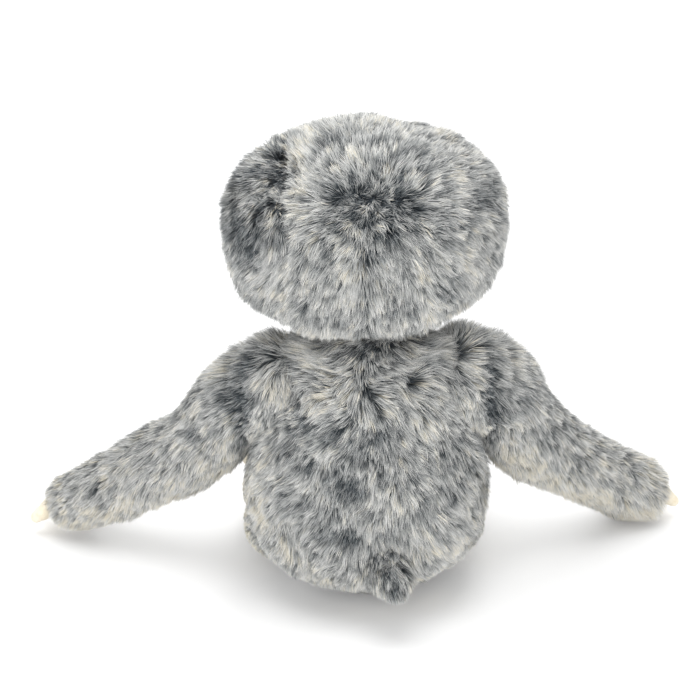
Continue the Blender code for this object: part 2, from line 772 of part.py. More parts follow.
def eye_patch(name, side):
    """A dark drop-shaped patch that slants down and out from the eye."""
    outer, inner = PLUSH_INSET - SEWN_GAP - PATCH_WALL, PLUSH_INSET - SEWN_GAP
    centre_x = EYE_SPREAD + EYE_PATCH_SHIFT
    centre_z = face_middle() + EYE_RISE - EYE_PATCH_SHIFT * math.tan(EYE_PATCH_TILT)
    rings_out, rings_in = [], []
    for ring_index in range(1, EYE_PATCH_RINGS + 1):
        share = ring_index / EYE_PATCH_RINGS
        ring_out, ring_in = [], []
        for index in range(PATCH_SIDES):
            angle = math.tau * index / (PATCH_SIDES)
            along = EYE_PATCH_HALF_LENGTH * share * math.cos(angle)
            taper = 1.0 + EYE_PATCH_TAPER_SHARE * math.cos(angle)
            beside = EYE_PATCH_HALF_WIDTH * share * math.sin(angle) * taper
            across = centre_x + along * math.cos(EYE_PATCH_TILT) + beside * math.sin(EYE_PATCH_TILT)
            height = centre_z - along * math.sin(EYE_PATCH_TILT) + beside * math.cos(EYE_PATCH_TILT)
            ring_out.append(Vector((side * across, head_front_y(across, height, outer), height)))
            ring_in.append(Vector((side * across, head_front_y(across, height, inner), height)))
        rings_out.append(ring_out)
        rings_in.append(ring_in)
    start = Vector((side * centre_x, head_front_y(centre_x, centre_z, outer), centre_z))
    end = Vector((side * centre_x, head_front_y(centre_x, centre_z, inner), centre_z))
    return solid_from(name, rings_out + rings_in[::-1], start, end)


def build_eye(name, side, pivot):
    """An eye patch, the eye with its shank, and its washer."""
    patch = eye_patch(f"{name}_eye_patch", side)
    carve(patch, shank_hole(side), muzzle_form("cut_muzzle", SEWN_GAP))
    finish(patch, "dark_plush", pivot)

    place, normal = eye_frame(side)
    panel_back, washer_back, shank_end = eye_depths()
    seat = EYE_SEAT_GAP
    profile = [(0.0, -shank_end), (SHANK_RADIUS, -shank_end), (SHANK_RADIUS, seat),
               (EYE_RADIUS, seat), (EYE_RADIUS, seat + EYE_RIM)]
    for step in range(1, EYE_STEPS):
        angle = 0.5 * math.pi * step / EYE_STEPS
        profile.append((EYE_RADIUS * math.cos(angle), seat + EYE_RIM + EYE_HEIGHT * math.sin(angle)))
    profile.append((0.0, seat + EYE_RIM + EYE_HEIGHT))
    finish(turned(f"{name}_eye", place, normal, profile, SMALL_SIDES), "black_plastic", pivot)

    washer = turned(f"{name}_eye_washer", place, normal,
                    [(WASHER_RADIUS, -washer_back), (WASHER_RADIUS, -panel_back - WASHER_SEAT_GAP)],
                    SMALL_SIDES)
    carve(washer, shank_hole_through_washer(place, normal, washer_back))
    finish(washer, "clear_plastic", pivot)


def shank_hole_through_washer(place, normal, depth):
    """The cutter of the hole in a washer."""
    return cylinder("cut_washer", place, place - normal * (depth + CUT_OVERRUN),
                    SHANK_RADIUS + SEWN_GAP, HOLE_SIDES)


# Limbs


def limb_plan(centre, side, yaw, reach, reach_shares, drop, drop_shares):
    """A limb's path in the upright plane that it lies in."""
    outward = Vector((side * math.cos(yaw), -math.sin(yaw), 0.0))
    points = []
    for along, down in zip(reach_shares, drop_shares):
        points.append(centre + outward * (reach * along) - UP * (drop * down))
    return points


def limb(name, points, radii, root_radius, inset, sides, steps):
    """A stuffed limb that starts as a ball, with its path and radii smoothed."""
    across = (points[1] - points[0]).cross(UP).normalized()
    heading = (points[1] - points[0]).normalized()
    neck_angle = math.acos(radii[0] / root_radius)
    neck_reach = root_radius * math.sin(neck_angle)
    rows = [[*(points[0] + heading * neck_reach), radii[0]]]
    rows += [[*point, radius] for point, radius in zip(points[1:], radii[1:])]
    curve = smooth_points(rows, steps)
    centres, widths = [], []
    ball_steps = max(2, round(neck_angle / BALL_STEP_ANGLE))
    for step in range(ball_steps):
        angle = neck_angle * step / ball_steps
        centres.append(points[0] + heading * ((root_radius - inset) * math.sin(angle)))
        widths.append((root_radius - inset) * math.cos(angle))
    for x, y, z, radius in curve:
        centres.append(Vector((x, y, z)))
        widths.append(radius - inset)
    return tube(name, centres, widths, across, sides)


def arm_path(side, yaw):
    """An arm's path down to the ground and its radii."""
    centre = shoulder_centre(side)
    drop = centre.z - HAND_RADIUS - HAND_LIFT
    points = limb_plan(centre, side, yaw, ARM_REACH, ARM_REACH_SHARES, drop, ARM_DROP_SHARES)
    neck = ARM_ROOT_RADIUS - ARM_NECK_INSET
    radii = (neck, neck, ARM_ELBOW_RADIUS, ARM_WRIST_RADIUS, HAND_RADIUS)
    return points, radii


def leg_path(side):
    """A leg's path forward and its radii."""
    centre = hip_centre(side)
    drop = centre.z - FOOT_RADIUS - FOOT_LIFT
    forward_yaw = 0.5 * math.pi - LEG_YAW
    points = limb_plan(centre, side, forward_yaw, LEG_REACH, LEG_REACH_SHARES, drop, LEG_DROP_SHARES)
    radii = (LEG_ROOT_RADIUS - LEG_NECK_INSET, LEG_KNEE_RADIUS, FOOT_RADIUS, FOOT_RADIUS)
    return points, radii


def torso_exit(start, direction, height):
    """How far a level line from a place runs before it leaves the torso at a height."""
    wide, deep = torso_half_width(height), torso_half_depth(height)
    if min(wide, deep) <= 0.0:
        return 0.0
    across, ahead = math.cos(direction), math.sin(direction)
    square = (across / wide) ** 2 + (ahead / deep) ** 2
    middle = start.x * across / wide ** 2 + start.y * ahead / deep ** 2
    rest = (start.x / wide) ** 2 + (start.y / deep) ** 2 - 1.0
    root = middle ** 2 - square * rest
    return max((math.sqrt(root) - middle) / square, 0.0) if root > 0.0 else 0.0


def flank_cutter(side):
    """What an arm leaves free to swing past the torso on its upright axis, less the ball."""
    centre = shoulder_centre(side)
    lowest = TORSO_WAIST_HEIGHT
    highest = centre.z + FLANK_TOP_SHARE * ARM_ROOT_RADIUS
    margin = math.pi / BALL_SIDES
    back, forward = ARM_SWING_BACK + margin, ARM_SWING_FORWARD + margin
    turns = [side * (back - (back + forward) * step / FLANK_TURNS) for step in range(FLANK_TURNS + 1)]
    rings = []
    for step in range(FLANK_STEPS + 1):
        height = lowest + (highest - lowest) * step / FLANK_STEPS
        ring = []
        for index in range(BALL_SIDES):
            angle = math.tau * (index + 0.5) / BALL_SIDES
            reach = SWEEP_GAP + max(torso_exit(centre, angle + turn, height) for turn in turns)
            ring.append(Vector((centre.x + reach * math.cos(angle),
                                centre.y + reach * math.sin(angle), height)))
        rings.append(ring)
    cutter = solid_from("cut_flank", rings)
    return carve(cutter, ball("cut_keep", centre, ARM_ROOT_RADIUS - BALL_TRIM, RIGHTWARD))


def root_opening(centre, side, root_radius, hole_radius):
    """The open root of a limb's cover, behind its closing patch."""
    inward = RIGHTWARD * -side
    return cylinder("cut_root", centre + inward * (root_radius - 2 * FUR_WALL),
                    centre + inward * (root_radius + CUT_OVERRUN), hole_radius, SMALL_SIDES)


def claw_shapes(name, tip, heading, radius, pitch, extra):
    """Three claws fanned out from the rounded end of a hand or foot."""
    level = Vector((heading.x, heading.y, 0.0)).normalized()
    made = []
    for index, fan in enumerate((-CLAW_FAN, 0.0, CLAW_FAN)):
        outward = Matrix.Rotation(fan, 3, "Z") @ level
        across = outward.cross(UP).normalized()
        direction = outward * math.cos(pitch) + UP * math.sin(pitch)
        root_round = CLAW_HALF_WIDTH * CLAW_RADIUS_SHARES[0]
        start = tip + direction * (radius - CLAW_ROOT + root_round)
        length = CLAW_LENGTH + CLAW_ROOT - root_round - CLAW_HALF_WIDTH
        points, radii = [], []
        place, turn = start, pitch
        count = len(CLAW_RADIUS_SHARES)
        for step, share in enumerate(CLAW_RADIUS_SHARES):
            points.append(place.copy())
            radii.append(CLAW_HALF_WIDTH * share + extra)
            turn = pitch - CLAW_BEND * step / (count - 1)
            place += (outward * math.cos(turn) + UP * math.sin(turn)) * (length / (count - 1))
        made.append(tube(f"{name}_{index + 1}", points, radii, across, CLAW_SIDES,
                         CLAW_THICKNESS_SHARE, cap_steps=1))
    return made


def build_arm(name, side, yaw, pivot):
    """An arm's cover, stuffing and claws."""
    points, radii = arm_path(side, yaw)
    centre = points[0]
    heading = points[-1] - points[-2]
    claw_args = (points[-1], heading, HAND_RADIUS, HAND_CLAW_PITCH)

    cover = limb(f"{name}_arm_cover", points, radii, ARM_ROOT_RADIUS, 0.0, ARM_SIDES, ARM_STEPS)
    inner = limb("cut_inside", points, radii, ARM_ROOT_RADIUS, FUR_WALL, ARM_INNER_SIDES,
                 ARM_STEPS)
    carve(cover, inner, flank_cutter(side),
          root_opening(centre, side, ARM_ROOT_RADIUS, ROOT_HOLE_SHARE * ARM_ROOT_RADIUS),
          *claw_shapes("cut_claw", *claw_args, SEWN_GAP))
    finish(cover, "grey_fur", pivot)

    stuffing = limb(f"{name}_arm_stuffing", points, radii, ARM_ROOT_RADIUS, FUR_WALL + SEWN_GAP,
                    ARM_INNER_SIDES, ARM_STEPS)
    carve(stuffing, flank_cutter(side))
    finish(stuffing, "white_fibre", pivot)
    for claw in claw_shapes(f"{name}_hand_claw", *claw_args, 0.0):
        finish(claw, "cream_suede", pivot)


def build_leg(name, side, pivot):
    """A leg's cover, stuffing, root patch and claws."""
    points, radii = leg_path(side)
    centre = points[0]
    heading = points[-1] - points[-2]
    claw_args = (points[-1], heading, FOOT_RADIUS, FOOT_CLAW_PITCH)

    cover = limb(f"{name}_leg_cover", points, radii, LEG_ROOT_RADIUS, 0.0, LEG_SIDES, LEG_STEPS)
    inner = limb("cut_inside", points, radii, LEG_ROOT_RADIUS, FUR_WALL, LEG_INNER_SIDES,
                 LEG_STEPS)
    carve(cover, inner, root_opening(centre, side, LEG_ROOT_RADIUS, ROOT_HOLE_SHARE * LEG_ROOT_RADIUS),
          *claw_shapes("cut_claw", *claw_args, SEWN_GAP))
    finish(cover, "grey_fur", pivot)

    stuffing = limb(f"{name}_leg_stuffing", points, radii, LEG_ROOT_RADIUS, FUR_WALL + SEWN_GAP,
                    LEG_INNER_SIDES, LEG_STEPS)
    finish(stuffing, "white_fibre", pivot)
    patch = lining_cap(f"{name}_hip_patch", centre, RIGHTWARD * -side, LEG_ROOT_RADIUS,
                       ROOT_PATCH_SHARE * LEG_ROOT_RADIUS)
    finish(patch, "cotton_lining", pivot)
    for claw in claw_shapes(f"{name}_foot_claw", *claw_args, 0.0):
        finish(claw, "cream_suede", pivot)


def build_tail(pivot):
    """The tail nub."""
    centre = tail_centre()
    outward = Vector((-math.sin(TAIL_YAW), math.cos(TAIL_YAW), 0.0))
    heading = outward * math.cos(TAIL_SLOPE) - UP * math.sin(TAIL_SLOPE)
    points = [centre, centre + heading * TAIL_LENGTH, centre + heading * (TAIL_LENGTH + ROOT_HOLE_SHARE * TAIL_RADIUS)]
    radii = (TAIL_ROOT_RADIUS - TAIL_NECK_INSET, TAIL_RADIUS, TAIL_TIP_SHARE * TAIL_RADIUS)
    tail = limb("tail", points, radii, TAIL_ROOT_RADIUS, 0.0, SMALL_SIDES, LEG_STEPS)
    finish(tail, "grey_fur", pivot)


def main():
    """Builds every piece and its pivot."""
    clear_scene()
    build_torso()
    neck_pivot = make_pivot("neck_pivot", neck_centre())
    neck_patch = lining_cap("neck_patch", neck_centre(), UP, NECK_RADIUS, NECK_PATCH_RADIUS)
    finish(neck_patch, "cotton_lining", neck_pivot)
    build_head(neck_pivot)
    for name, side in SIDES.items():
        shoulder = make_pivot(f"{name}_shoulder_pivot", shoulder_centre(side))
        patch = lining_cap(f"{name}_shoulder_patch", shoulder_centre(side), RIGHTWARD * -side,
                           ARM_ROOT_RADIUS, ROOT_PATCH_SHARE * ARM_ROOT_RADIUS)
        finish(patch, "cotton_lining", shoulder)
        build_arm(name, side, LEFT_ARM_YAW if name == "left" else RIGHT_ARM_YAW, shoulder)
        build_leg(name, side, make_pivot(f"{name}_hip_pivot", hip_centre(side)))
    build_tail(make_pivot("tail_pivot", tail_centre()))


main()
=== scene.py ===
"""Dresses the sitting plush sloth: frosted fur, short-pile face and belly, eyes, nose and claws.

Metres, +Z up. The sloth faces -Y and its left side is +X. The backings under the fur lie a
little below the covers of the CAD model, and the pile grows from them back out to the covers.
"""
import logging
import math
from dataclasses import dataclass, field, fields
from enum import Enum
from typing import Callable, Sequence

import bpy
import numpy as np
from mathutils import Matrix, Vector
from mathutils.kdtree import KDTree


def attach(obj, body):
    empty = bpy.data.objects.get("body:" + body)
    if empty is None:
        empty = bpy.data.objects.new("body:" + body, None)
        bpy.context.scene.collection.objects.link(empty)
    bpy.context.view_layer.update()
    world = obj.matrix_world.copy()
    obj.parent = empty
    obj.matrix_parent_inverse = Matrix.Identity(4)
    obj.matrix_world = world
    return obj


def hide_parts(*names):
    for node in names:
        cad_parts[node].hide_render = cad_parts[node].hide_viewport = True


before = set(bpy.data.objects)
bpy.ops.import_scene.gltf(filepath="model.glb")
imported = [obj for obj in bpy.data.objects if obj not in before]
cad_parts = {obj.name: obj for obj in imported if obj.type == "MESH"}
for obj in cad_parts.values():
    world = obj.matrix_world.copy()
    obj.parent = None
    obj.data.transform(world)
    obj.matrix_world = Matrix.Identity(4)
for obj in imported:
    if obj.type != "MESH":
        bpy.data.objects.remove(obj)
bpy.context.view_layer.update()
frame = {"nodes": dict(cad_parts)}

LOG = logging.getLogger("plush_sloth")
Array = np.ndarray
Colour = tuple[float, float, float]
Level = tuple[int, int, int]
Place = tuple[float, float, float]
# The two values between which a change is eased in. For falling heights they are negative.
Span = tuple[float, float]
Stops = tuple[tuple[float, Colour], ...]
Thing = bpy.types.Object
Material = bpy.types.Material
Socket = bpy.types.NodeSocket
UP = np.array((0.0, 0.0, 1.0))
WHITE = (1.0, 1.0, 1.0, 1.0)
PILE_MAP = "OFBake"
TONE_STEPS = 48
CREAM_SHARE = 0.2
PIECE_STRANDS = 65000
TONE_SHARES = (0.35, 0.55, 0.10)
LOWEST_STRAND = 0.0003
BACKING_INSET = 0.0052
ROOT_ROOM = 0.0022
HAND_CLAW_PITCH = math.radians(-18)
FOOT_CLAW_PITCH = math.radians(30)
MOTTLE_MIDDLE = 0.375
MOTTLE = ((0.018, 0.12), (0.008, 0.20), (0.004, 0.36), (0.0022, 0.34))
ARMHOLE_RISE = (0.070, 0.080)
ARMHOLE_TOP = (0.125, 0.136)
ARMHOLE_BACK = (-0.012, 0.000)
ARMHOLE_HEIGHTS = (0.077, 0.090, 0.098, 0.110, 0.119, 0.127, 0.134)
ARMHOLE_REACHES = (0.0630, 0.0626, 0.0612, 0.0590, 0.0566, 0.0540, 0.0490)


class Side(Enum):
    """The sloth's own left and right."""

    LEFT = 1
    RIGHT = -1

    @property
    def word(self) -> str:
        """The side's name, as the CAD nodes write it."""
        return self.name.lower()


class Pile(Enum):
    """The sewn-on piles, by the material slot that each one takes."""

    GREY_FUR = "grey_fur"
    CREAM_PLUSH = "cream_plush"
    DARK_PLUSH = "dark_plush"


# Numbers and noise


def unit(rows: Array) -> Array:
    """Each row at length one."""
    return rows / np.maximum(np.linalg.norm(rows, axis=-1, keepdims=True), 1e-9)


def ease(value: Array, low: float, high: float) -> Array:
    """A smooth step from 0 at low to 1 at high."""
    share = np.clip((value - low) / (high - low), 0.0, 1.0)
    return share * share * (3.0 - 2.0 * share)


def linear(red: int, green: int, blue: int) -> Colour:
    """A colour written in 0 to 255, as the shader takes it.

    Args:
        red: The red level, from 0 to 255.
        green: The green level.
        blue: The blue level.

    Returns:
        The three levels in linear light.
    """
    shares = [level / 255.0 for level in (red, green, blue)]
    return tuple(share / 12.92 if share <= 0.04045 else ((share + 0.055) / 1.055) ** 2.4
                 for share in shares)


def cloudiness(places: Array, size: float, seed: int) -> Array:
    """Smooth random values over space.

    Args:
        places: Rows of points.
        size: How far apart the values change, in metres.
        seed: Which pattern.

    Returns:
        A value from -1 to 1 for each point.
    """
    grid = places / size
    cell = np.floor(grid).astype(np.int64)
    part = grid - cell
    part = part * part * (3.0 - 2.0 * part)
    total = np.zeros(len(places))
    for corner in range(8):
        step = np.array((corner & 1, corner >> 1 & 1, corner >> 2 & 1))
        key = cell + step
        mixed = (key[:, 0] * 73856093) ^ (key[:, 1] * 19349663) ^ (key[:, 2] * 83492791)
        mixed = (mixed ^ (seed * 668265263)) & 0xFFFFFFFF
        mixed = ((mixed ^ (mixed >> 13)) * 1274126177) & 0xFFFFFFFF
        mixed = mixed ^ (mixed >> 16)
        weight = np.prod(np.where(step == 1, part, 1.0 - part), axis=1)
        total += weight * (mixed / 2147483648.0 - 1.0)
    return total


def drift(places: Array, size: float, first: int) -> Array:
    """Smooth random directions over space, from three patterns that follow each other."""
    return np.column_stack([cloudiness(places, size, first + step) for step in range(3)])


def quarter(steps: int) -> list[float]:
    """Angles from just above 0 to a right angle."""
    return [0.5 * math.pi * step / steps for step in range(1, steps + 1)]


def capped(centre: Array, heading: Array, radius: float, angles: Sequence[float]
           ) -> list[tuple[float, ...]]:
    """Rings of a ball: x, y, z and radius for each angle from its widest ring."""
    return [(*(centre + heading * radius * math.sin(angle)), radius * math.cos(angle))
            for angle in angles]


def smooth_rows(rows: Array, steps: int) -> Array:
    """A smooth curve through rows of numbers.

    Args:
        rows: The rows it passes through.
        steps: How many places it has between neighbours.

    Returns:
        The rows of the curve.
    """
    padded = np.vstack((2 * rows[0] - rows[1], rows, 2 * rows[-1] - rows[-2]))
    curve = []
    for index in range(1, len(padded) - 2):
        p0, p1, p2, p3 = padded[index - 1:index + 3]
        for step in range(steps):
            t = step / steps
            curve.append(0.5 * (2 * p1 + (p2 - p0) * t + (2 * p0 - 5 * p1 + 4 * p2 - p3) * t ** 2
                                + (3 * p1 - p0 - 3 * p2 + p3) * t ** 3))
    curve.append(rows[-1])
    return np.array(curve)


# The plush's own forms


@dataclass(frozen=True)
class Egg:
    """A stuffed egg, as round above and below as its powers say, at any depth below the pile."""

    middle: Place
    half_width: float
    front_depth: float
    back_depth: float
    lower: float
    upper: float
    lower_power: float
    upper_power: float

    def share(self, height: Array, inset: float) -> Array:
        """How much of its greatest width it has at each height.

        Args:
            height: Heights over the ground.
            inset: The depth below the pile.

        Returns:
            A share for each height.
        """
        offset = height - self.middle[2]
        reach = np.where(offset < 0.0, self.lower, self.upper) - inset
        power = np.where(offset < 0.0, self.lower_power, self.upper_power)
        away = np.clip(np.abs(offset) / reach, 0.0, 1.0)
        return (1.0 - away ** power) ** (1.0 / power)

    def holds(self, places: Array, inset: float) -> Array:
        """Whether each place lies inside it, at a depth below the pile.

        Args:
            places: Rows of points.
            inset: The depth below the pile.

        Returns:
            True for each place inside.
        """
        share = np.maximum(self.share(places[:, 2], inset), 1e-6)
        offset = places - np.array(self.middle)
        depth = np.where(offset[:, 1] < 0.0, self.front_depth, self.back_depth) - inset
        wide = offset[:, 0] / ((self.half_width - inset) * share)
        deep = offset[:, 1] / (depth * share)
        return wide ** 2 + deep ** 2 < 1.0

    def front_y(self, across: Array, height: Array, inset: float) -> Array:
        """Where its front lies, for places seen from the front.

        Args:
            across: How far each place lies to the left.
            height: Its height over the ground.
            inset: The depth below the pile.

        Returns:
            The y of the front at each place.
        """
        share = self.share(height, inset)
        spread = across / (self.half_width - inset)
        depth = (self.front_depth - inset) * np.sqrt(np.maximum(share ** 2 - spread ** 2, 0.0))
        return self.middle[1] - depth

    def wrap(self, ball: Array, inset: float) -> Array:
        """Lays a unit ball's points onto it.

        Args:
            ball: Points of a ball of radius one.
            inset: The depth below the pile.

        Returns:
            The points on the form.
        """
        rise = ball[:, 2]
        reach = np.where(rise < 0.0, self.lower, self.upper) - inset
        height = self.middle[2] + reach * rise
        share = self.share(height, inset)
        around = unit(ball[:, :2])
        depth = np.where(around[:, 1] < 0.0, self.front_depth, self.back_depth) - inset
        return np.column_stack(((self.half_width - inset) * share * around[:, 0],
                                self.middle[1] + depth * share * around[:, 1], height))


@dataclass(frozen=True)
class NeckedEgg(Egg):
    """An egg with a round neck on its top."""

    neck: Place
    neck_radius: float

    def holds(self, places: Array, inset: float) -> Array:
        """Whether each place lies inside it or its neck, at a depth below the pile."""
        reach = np.linalg.norm(places - np.array(self.neck), axis=1)
        return super().holds(places, inset) | (reach < self.neck_radius - inset)

    def gap(self, places: Array) -> Array:
        """About how far each place stands off its side.

        Args:
            places: Rows of points.

        Returns:
            A distance in metres for each point, below 0 inside.
        """
        share = np.maximum(self.share(places[:, 2], 0.0), 0.2)
        wide = places[:, 0] / (self.half_width * share)
        deep = places[:, 1] / (self.back_depth * share)
        return (np.sqrt(wide ** 2 + deep ** 2) - 1.0) * self.half_width * share

    def wrap(self, ball: Array, inset: float) -> Array:
        """Lays a unit ball's points onto it and its neck.

        Args:
            ball: Points of a ball of radius one.
            inset: The depth below the pile.

        Returns:
            The points on the form.
        """
        places = super().wrap(ball, inset)
        middle = np.array(self.middle)
        heading = unit(places - middle)
        neck = np.array(self.neck) - middle
        along = heading @ neck
        inner = along ** 2 - neck @ neck + (self.neck_radius - inset) ** 2
        leaves = np.where(inner > 0.0, along + np.sqrt(np.maximum(inner, 0.0)), 0.0)
        reach = np.maximum(np.linalg.norm(places - middle, axis=1), leaves)
        return middle + heading * reach[:, None]


@dataclass(frozen=True)
class LimbForm:
    """A stuffed limb that starts as a ball and follows a smooth path."""

    root: Place
    outward: Place
    reach: float
    reach_shares: tuple[float, ...]
    drop: float
    drop_shares: tuple[float, ...]
    root_radius: float
    radii: tuple[float, ...]

    def line(self, steps: int = 6) -> Array:
        """Rows of x, y, z and radius from the ball's neck to the tip.

        Args:
            steps: How many rows it has between its named places.

        Returns:
            The rows.
        """
        root, outward = np.array(self.root), np.array(self.outward)
        places = np.array([root + outward * self.reach * along - UP * self.drop * down
                           for along, down in zip(self.reach_shares, self.drop_shares)])
        heading = unit(places[1] - places[0])
        angle = math.acos(self.radii[0] / self.root_radius)
        places[0] += heading * self.root_radius * math.sin(angle)
        return smooth_rows(np.column_stack((places, self.radii)), steps)

    def rings(self, inset: float) -> Array:
        """Its rings, from one end to the other.

        Args:
            inset: The depth below the pile.

        Returns:
            Rows of x, y, z and radius, with radius 0 at both ends.
        """
        line = self.line()
        root = np.array(self.root)
        first = 0 if np.linalg.norm(line[0, :3] - root) > 1e-5 else 1
        heading = unit(line[first, :3] - root)
        ball = self.root_radius - inset
        neck = math.acos(self.radii[0] / self.root_radius)
        table = capped(root, heading, ball, [0.5 * math.pi * (step / 6 - 1.0) for step in range(7)])
        table += capped(root, heading, ball, [neck * step / 4 for step in range(1, 4)])
        table += [(*row[:3], row[3] - inset) for row in line]
        end = unit(line[-1, :3] - line[-2, :3])
        table += capped(line[-1, :3], end, line[-1, 3] - inset, quarter(6))
        rings = np.array(table)
        rings[[0, -1], 3] = 0.0
        return rings

    def nearest(self, places: Array) -> tuple[Array, Array, Array]:
        """How places lie along it.

        Args:
            places: Rows of points.

        Returns:
            The share of its length, its heading there, and the distance beyond its surface.
        """
        line = self.line(8)
        line = np.vstack((np.append(self.root, self.root_radius), line))
        headings = unit(np.gradient(line[:, :3], axis=0))
        gaps = np.linalg.norm(places[:, None, :] - line[None, :, :3], axis=2)
        best = np.argmin(gaps, axis=1)
        beyond = np.min(gaps - line[None, :, 3], axis=1)
        return best / (len(line) - 1), headings[best], beyond


@dataclass(frozen=True)
class Oval:
    """An oval panel on the front of a form, by its outline as seen from the front."""

    form: Egg
    half_width: float
    half_height: float
    height: float
    inset: float = 0.0048
    half_wall: float = 0.0010
    tuck: float = 0.0010
    slack: float = 0.0002

    def lay(self, ball: Array) -> Array:
        """The panel's places, thin and curved, for points of a ball of radius one.

        Args:
            ball: Points of a ball of radius one.

        Returns:
            A place for each point.
        """
        across = self.half_width * ball[:, 0]
        height = self.height + self.half_height * ball[:, 1]
        front = self.form.front_y(across, height, self.inset)
        return np.column_stack((across, front - self.half_wall * ball[:, 2], height))

    def fronts(self, places: Array) -> Array:
        """Whether each place lies on the panel's front side."""
        front = self.form.front_y(places[:, 0], places[:, 2], self.inset)
        return places[:, 1] < front + self.slack

    def outside(self, places: Array) -> Array:
        """Whether each place lies beside the panel or behind it.

        Args:
            places: Rows of points.

        Returns:
            True or false for each point.
        """
        across = places[:, 0] / (self.half_width - self.tuck)
        rise = (places[:, 2] - self.height) / (self.half_height - self.tuck)
        return ~((across ** 2 + rise ** 2 < 1.0) & (places[:, 1] < 0.0))


TORSO = NeckedEgg(middle=(0.0, 0.0, 0.0500), half_width=0.0620, front_depth=0.0540,
                  back_depth=0.0540, lower=0.0505, upper=0.1000, lower_power=2.5,
                  upper_power=2.0, neck=(0.0, -0.0020, 0.1160), neck_radius=0.0370)
HEAD = Egg(middle=(0.0, -0.0080, 0.1960), half_width=0.0730, front_depth=0.0520,
           back_depth=0.0560, lower=0.0570, upper=0.0550, lower_power=2.5, upper_power=2.1)
BELLY_PANEL = Oval(TORSO, 0.0320, 0.0340, 0.0700)
FACE_PANEL = Oval(HEAD, 0.0440, 0.0350, 0.1860)


def arm_form(side: Side) -> LimbForm:
    """The arm of one side, down to a hand that lies on the ground.

    Args:
        side: Left or right.

    Returns:
        The arm's form.
    """
    yaw = math.radians(35 if side is Side.LEFT else 37)
    return LimbForm(root=(side.value * 0.0451, -0.0050, 0.1100),
                    outward=(side.value * math.cos(yaw), -math.sin(yaw), 0.0),
                    reach=0.1300, reach_shares=(0.0, 0.18, 0.40, 0.75, 1.0),
                    drop=0.0904, drop_shares=(0.0, 0.12, 0.46, 0.78, 1.0),
                    root_radius=0.0265, radii=(0.0255, 0.0255, 0.0220, 0.0195, 0.0190))


def leg_form(side: Side) -> LimbForm:
    """The leg of one side, straight forward from the lower front of the torso.

    Args:
        side: Left or right.

    Returns:
        The leg's form.
    """
    yaw = math.radians(87)
    return LimbForm(root=(side.value * 0.0440, -0.0318, 0.0260),
                    outward=(side.value * math.cos(yaw), -math.sin(yaw), 0.0),
                    reach=0.0620, reach_shares=(0.0, 0.50, 0.80, 1.0),
                    drop=0.0059, drop_shares=(0.0, 0.20, 0.70, 1.0),
                    root_radius=0.0230, radii=(0.0160, 0.0180, 0.0195, 0.0195))


def tail_form() -> LimbForm:
    """The short nub low on the back.

    Returns:
        The tail's form.
    """
    yaw, slope = math.radians(6), math.radians(8)
    outward = (-math.sin(yaw), math.cos(yaw), 0.0)
    return LimbForm(root=(-0.0070, 0.0496, 0.0350), outward=outward, reach=0.0173 * math.cos(slope),
                    reach_shares=(0.0, 0.64, 1.0), drop=0.0173 * math.sin(slope),
                    drop_shares=(0.0, 0.64, 1.0), root_radius=0.0145,
                    radii=(0.0120, 0.0125, 0.0094))


# Meshes


def clear_choice() -> None:
    """Leaves nothing selected, in object mode."""
    if bpy.context.object is not None and bpy.context.object.mode != "OBJECT":
        bpy.ops.object.mode_set(mode="OBJECT")
    bpy.ops.object.select_all(action="DESELECT")


def choose(thing: Thing) -> None:
    """Selects one object alone and makes it active.

    Args:
        thing: The object.
    """
    clear_choice()
    thing.select_set(True)
    bpy.context.view_layer.objects.active = thing


def corners(thing: Thing) -> Array:
    """The places of an object's vertices.

    Args:
        thing: The object.

    Returns:
        A row of x, y and z for each vertex.
    """
    places = np.empty(len(thing.data.vertices) * 3)
    thing.data.vertices.foreach_get("co", places)
    return places.reshape(-1, 3)


def triangles(thing: Thing) -> Array:
    """The vertices of an object's triangles, in an order that is the same on every run.

    Args:
        thing: The piece.

    Returns:
        Rows of three vertex numbers.
    """
    mesh = thing.data
    starts = np.empty(len(mesh.polygons), np.int32)
    mesh.polygons.foreach_get("loop_start", starts)
    ends = np.append(starts[1:], len(mesh.loops))
    loops = np.empty(len(mesh.loops), np.int32)
    mesh.loops.foreach_get("vertex_index", loops)
    found = []
    for start, end in zip(starts.tolist(), ends.tolist()):
        face = loops[start:end].tolist()
        first = face.index(min(face))
        face = face[first:] + face[:first]
        found += [(face[0], face[k], face[k + 1]) for k in range(1, len(face) - 1)]
    return np.array(sorted(found))


def smooth_normals(thing: Thing) -> Array:
    """The smooth normals at an object's vertices, the same on every run.

    Args:
        thing: The piece.

    Returns:
        A direction for each vertex.
    """
    places, picks = corners(thing), triangles(thing)
    a, b, c = (places[picks[:, k]] for k in range(3))
    total = np.zeros_like(places)
    for k in range(3):
        np.add.at(total, picks[:, k], np.cross(b - a, c - a))
    return unit(total)


def set_corners(thing: Thing, places: Array) -> None:
    """Moves an object's vertices."""
    thing.data.vertices.foreach_set("co", places.astype(np.float32).ravel())
    thing.data.update()


def apply_modifier(thing: Thing, kind: str, **settings: object) -> None:
    """Adds a modifier with its settings and applies it.

    Args:
        thing: The piece.
        kind: The modifier's type.
        settings: Its settings by name.
    """
    choose(thing)
    bpy.ops.object.modifier_add(type=kind)
    modifier = thing.modifiers[-1]
    for name, value in settings.items():
        setattr(modifier, name, value)
    bpy.ops.object.modifier_apply(modifier=modifier.name)


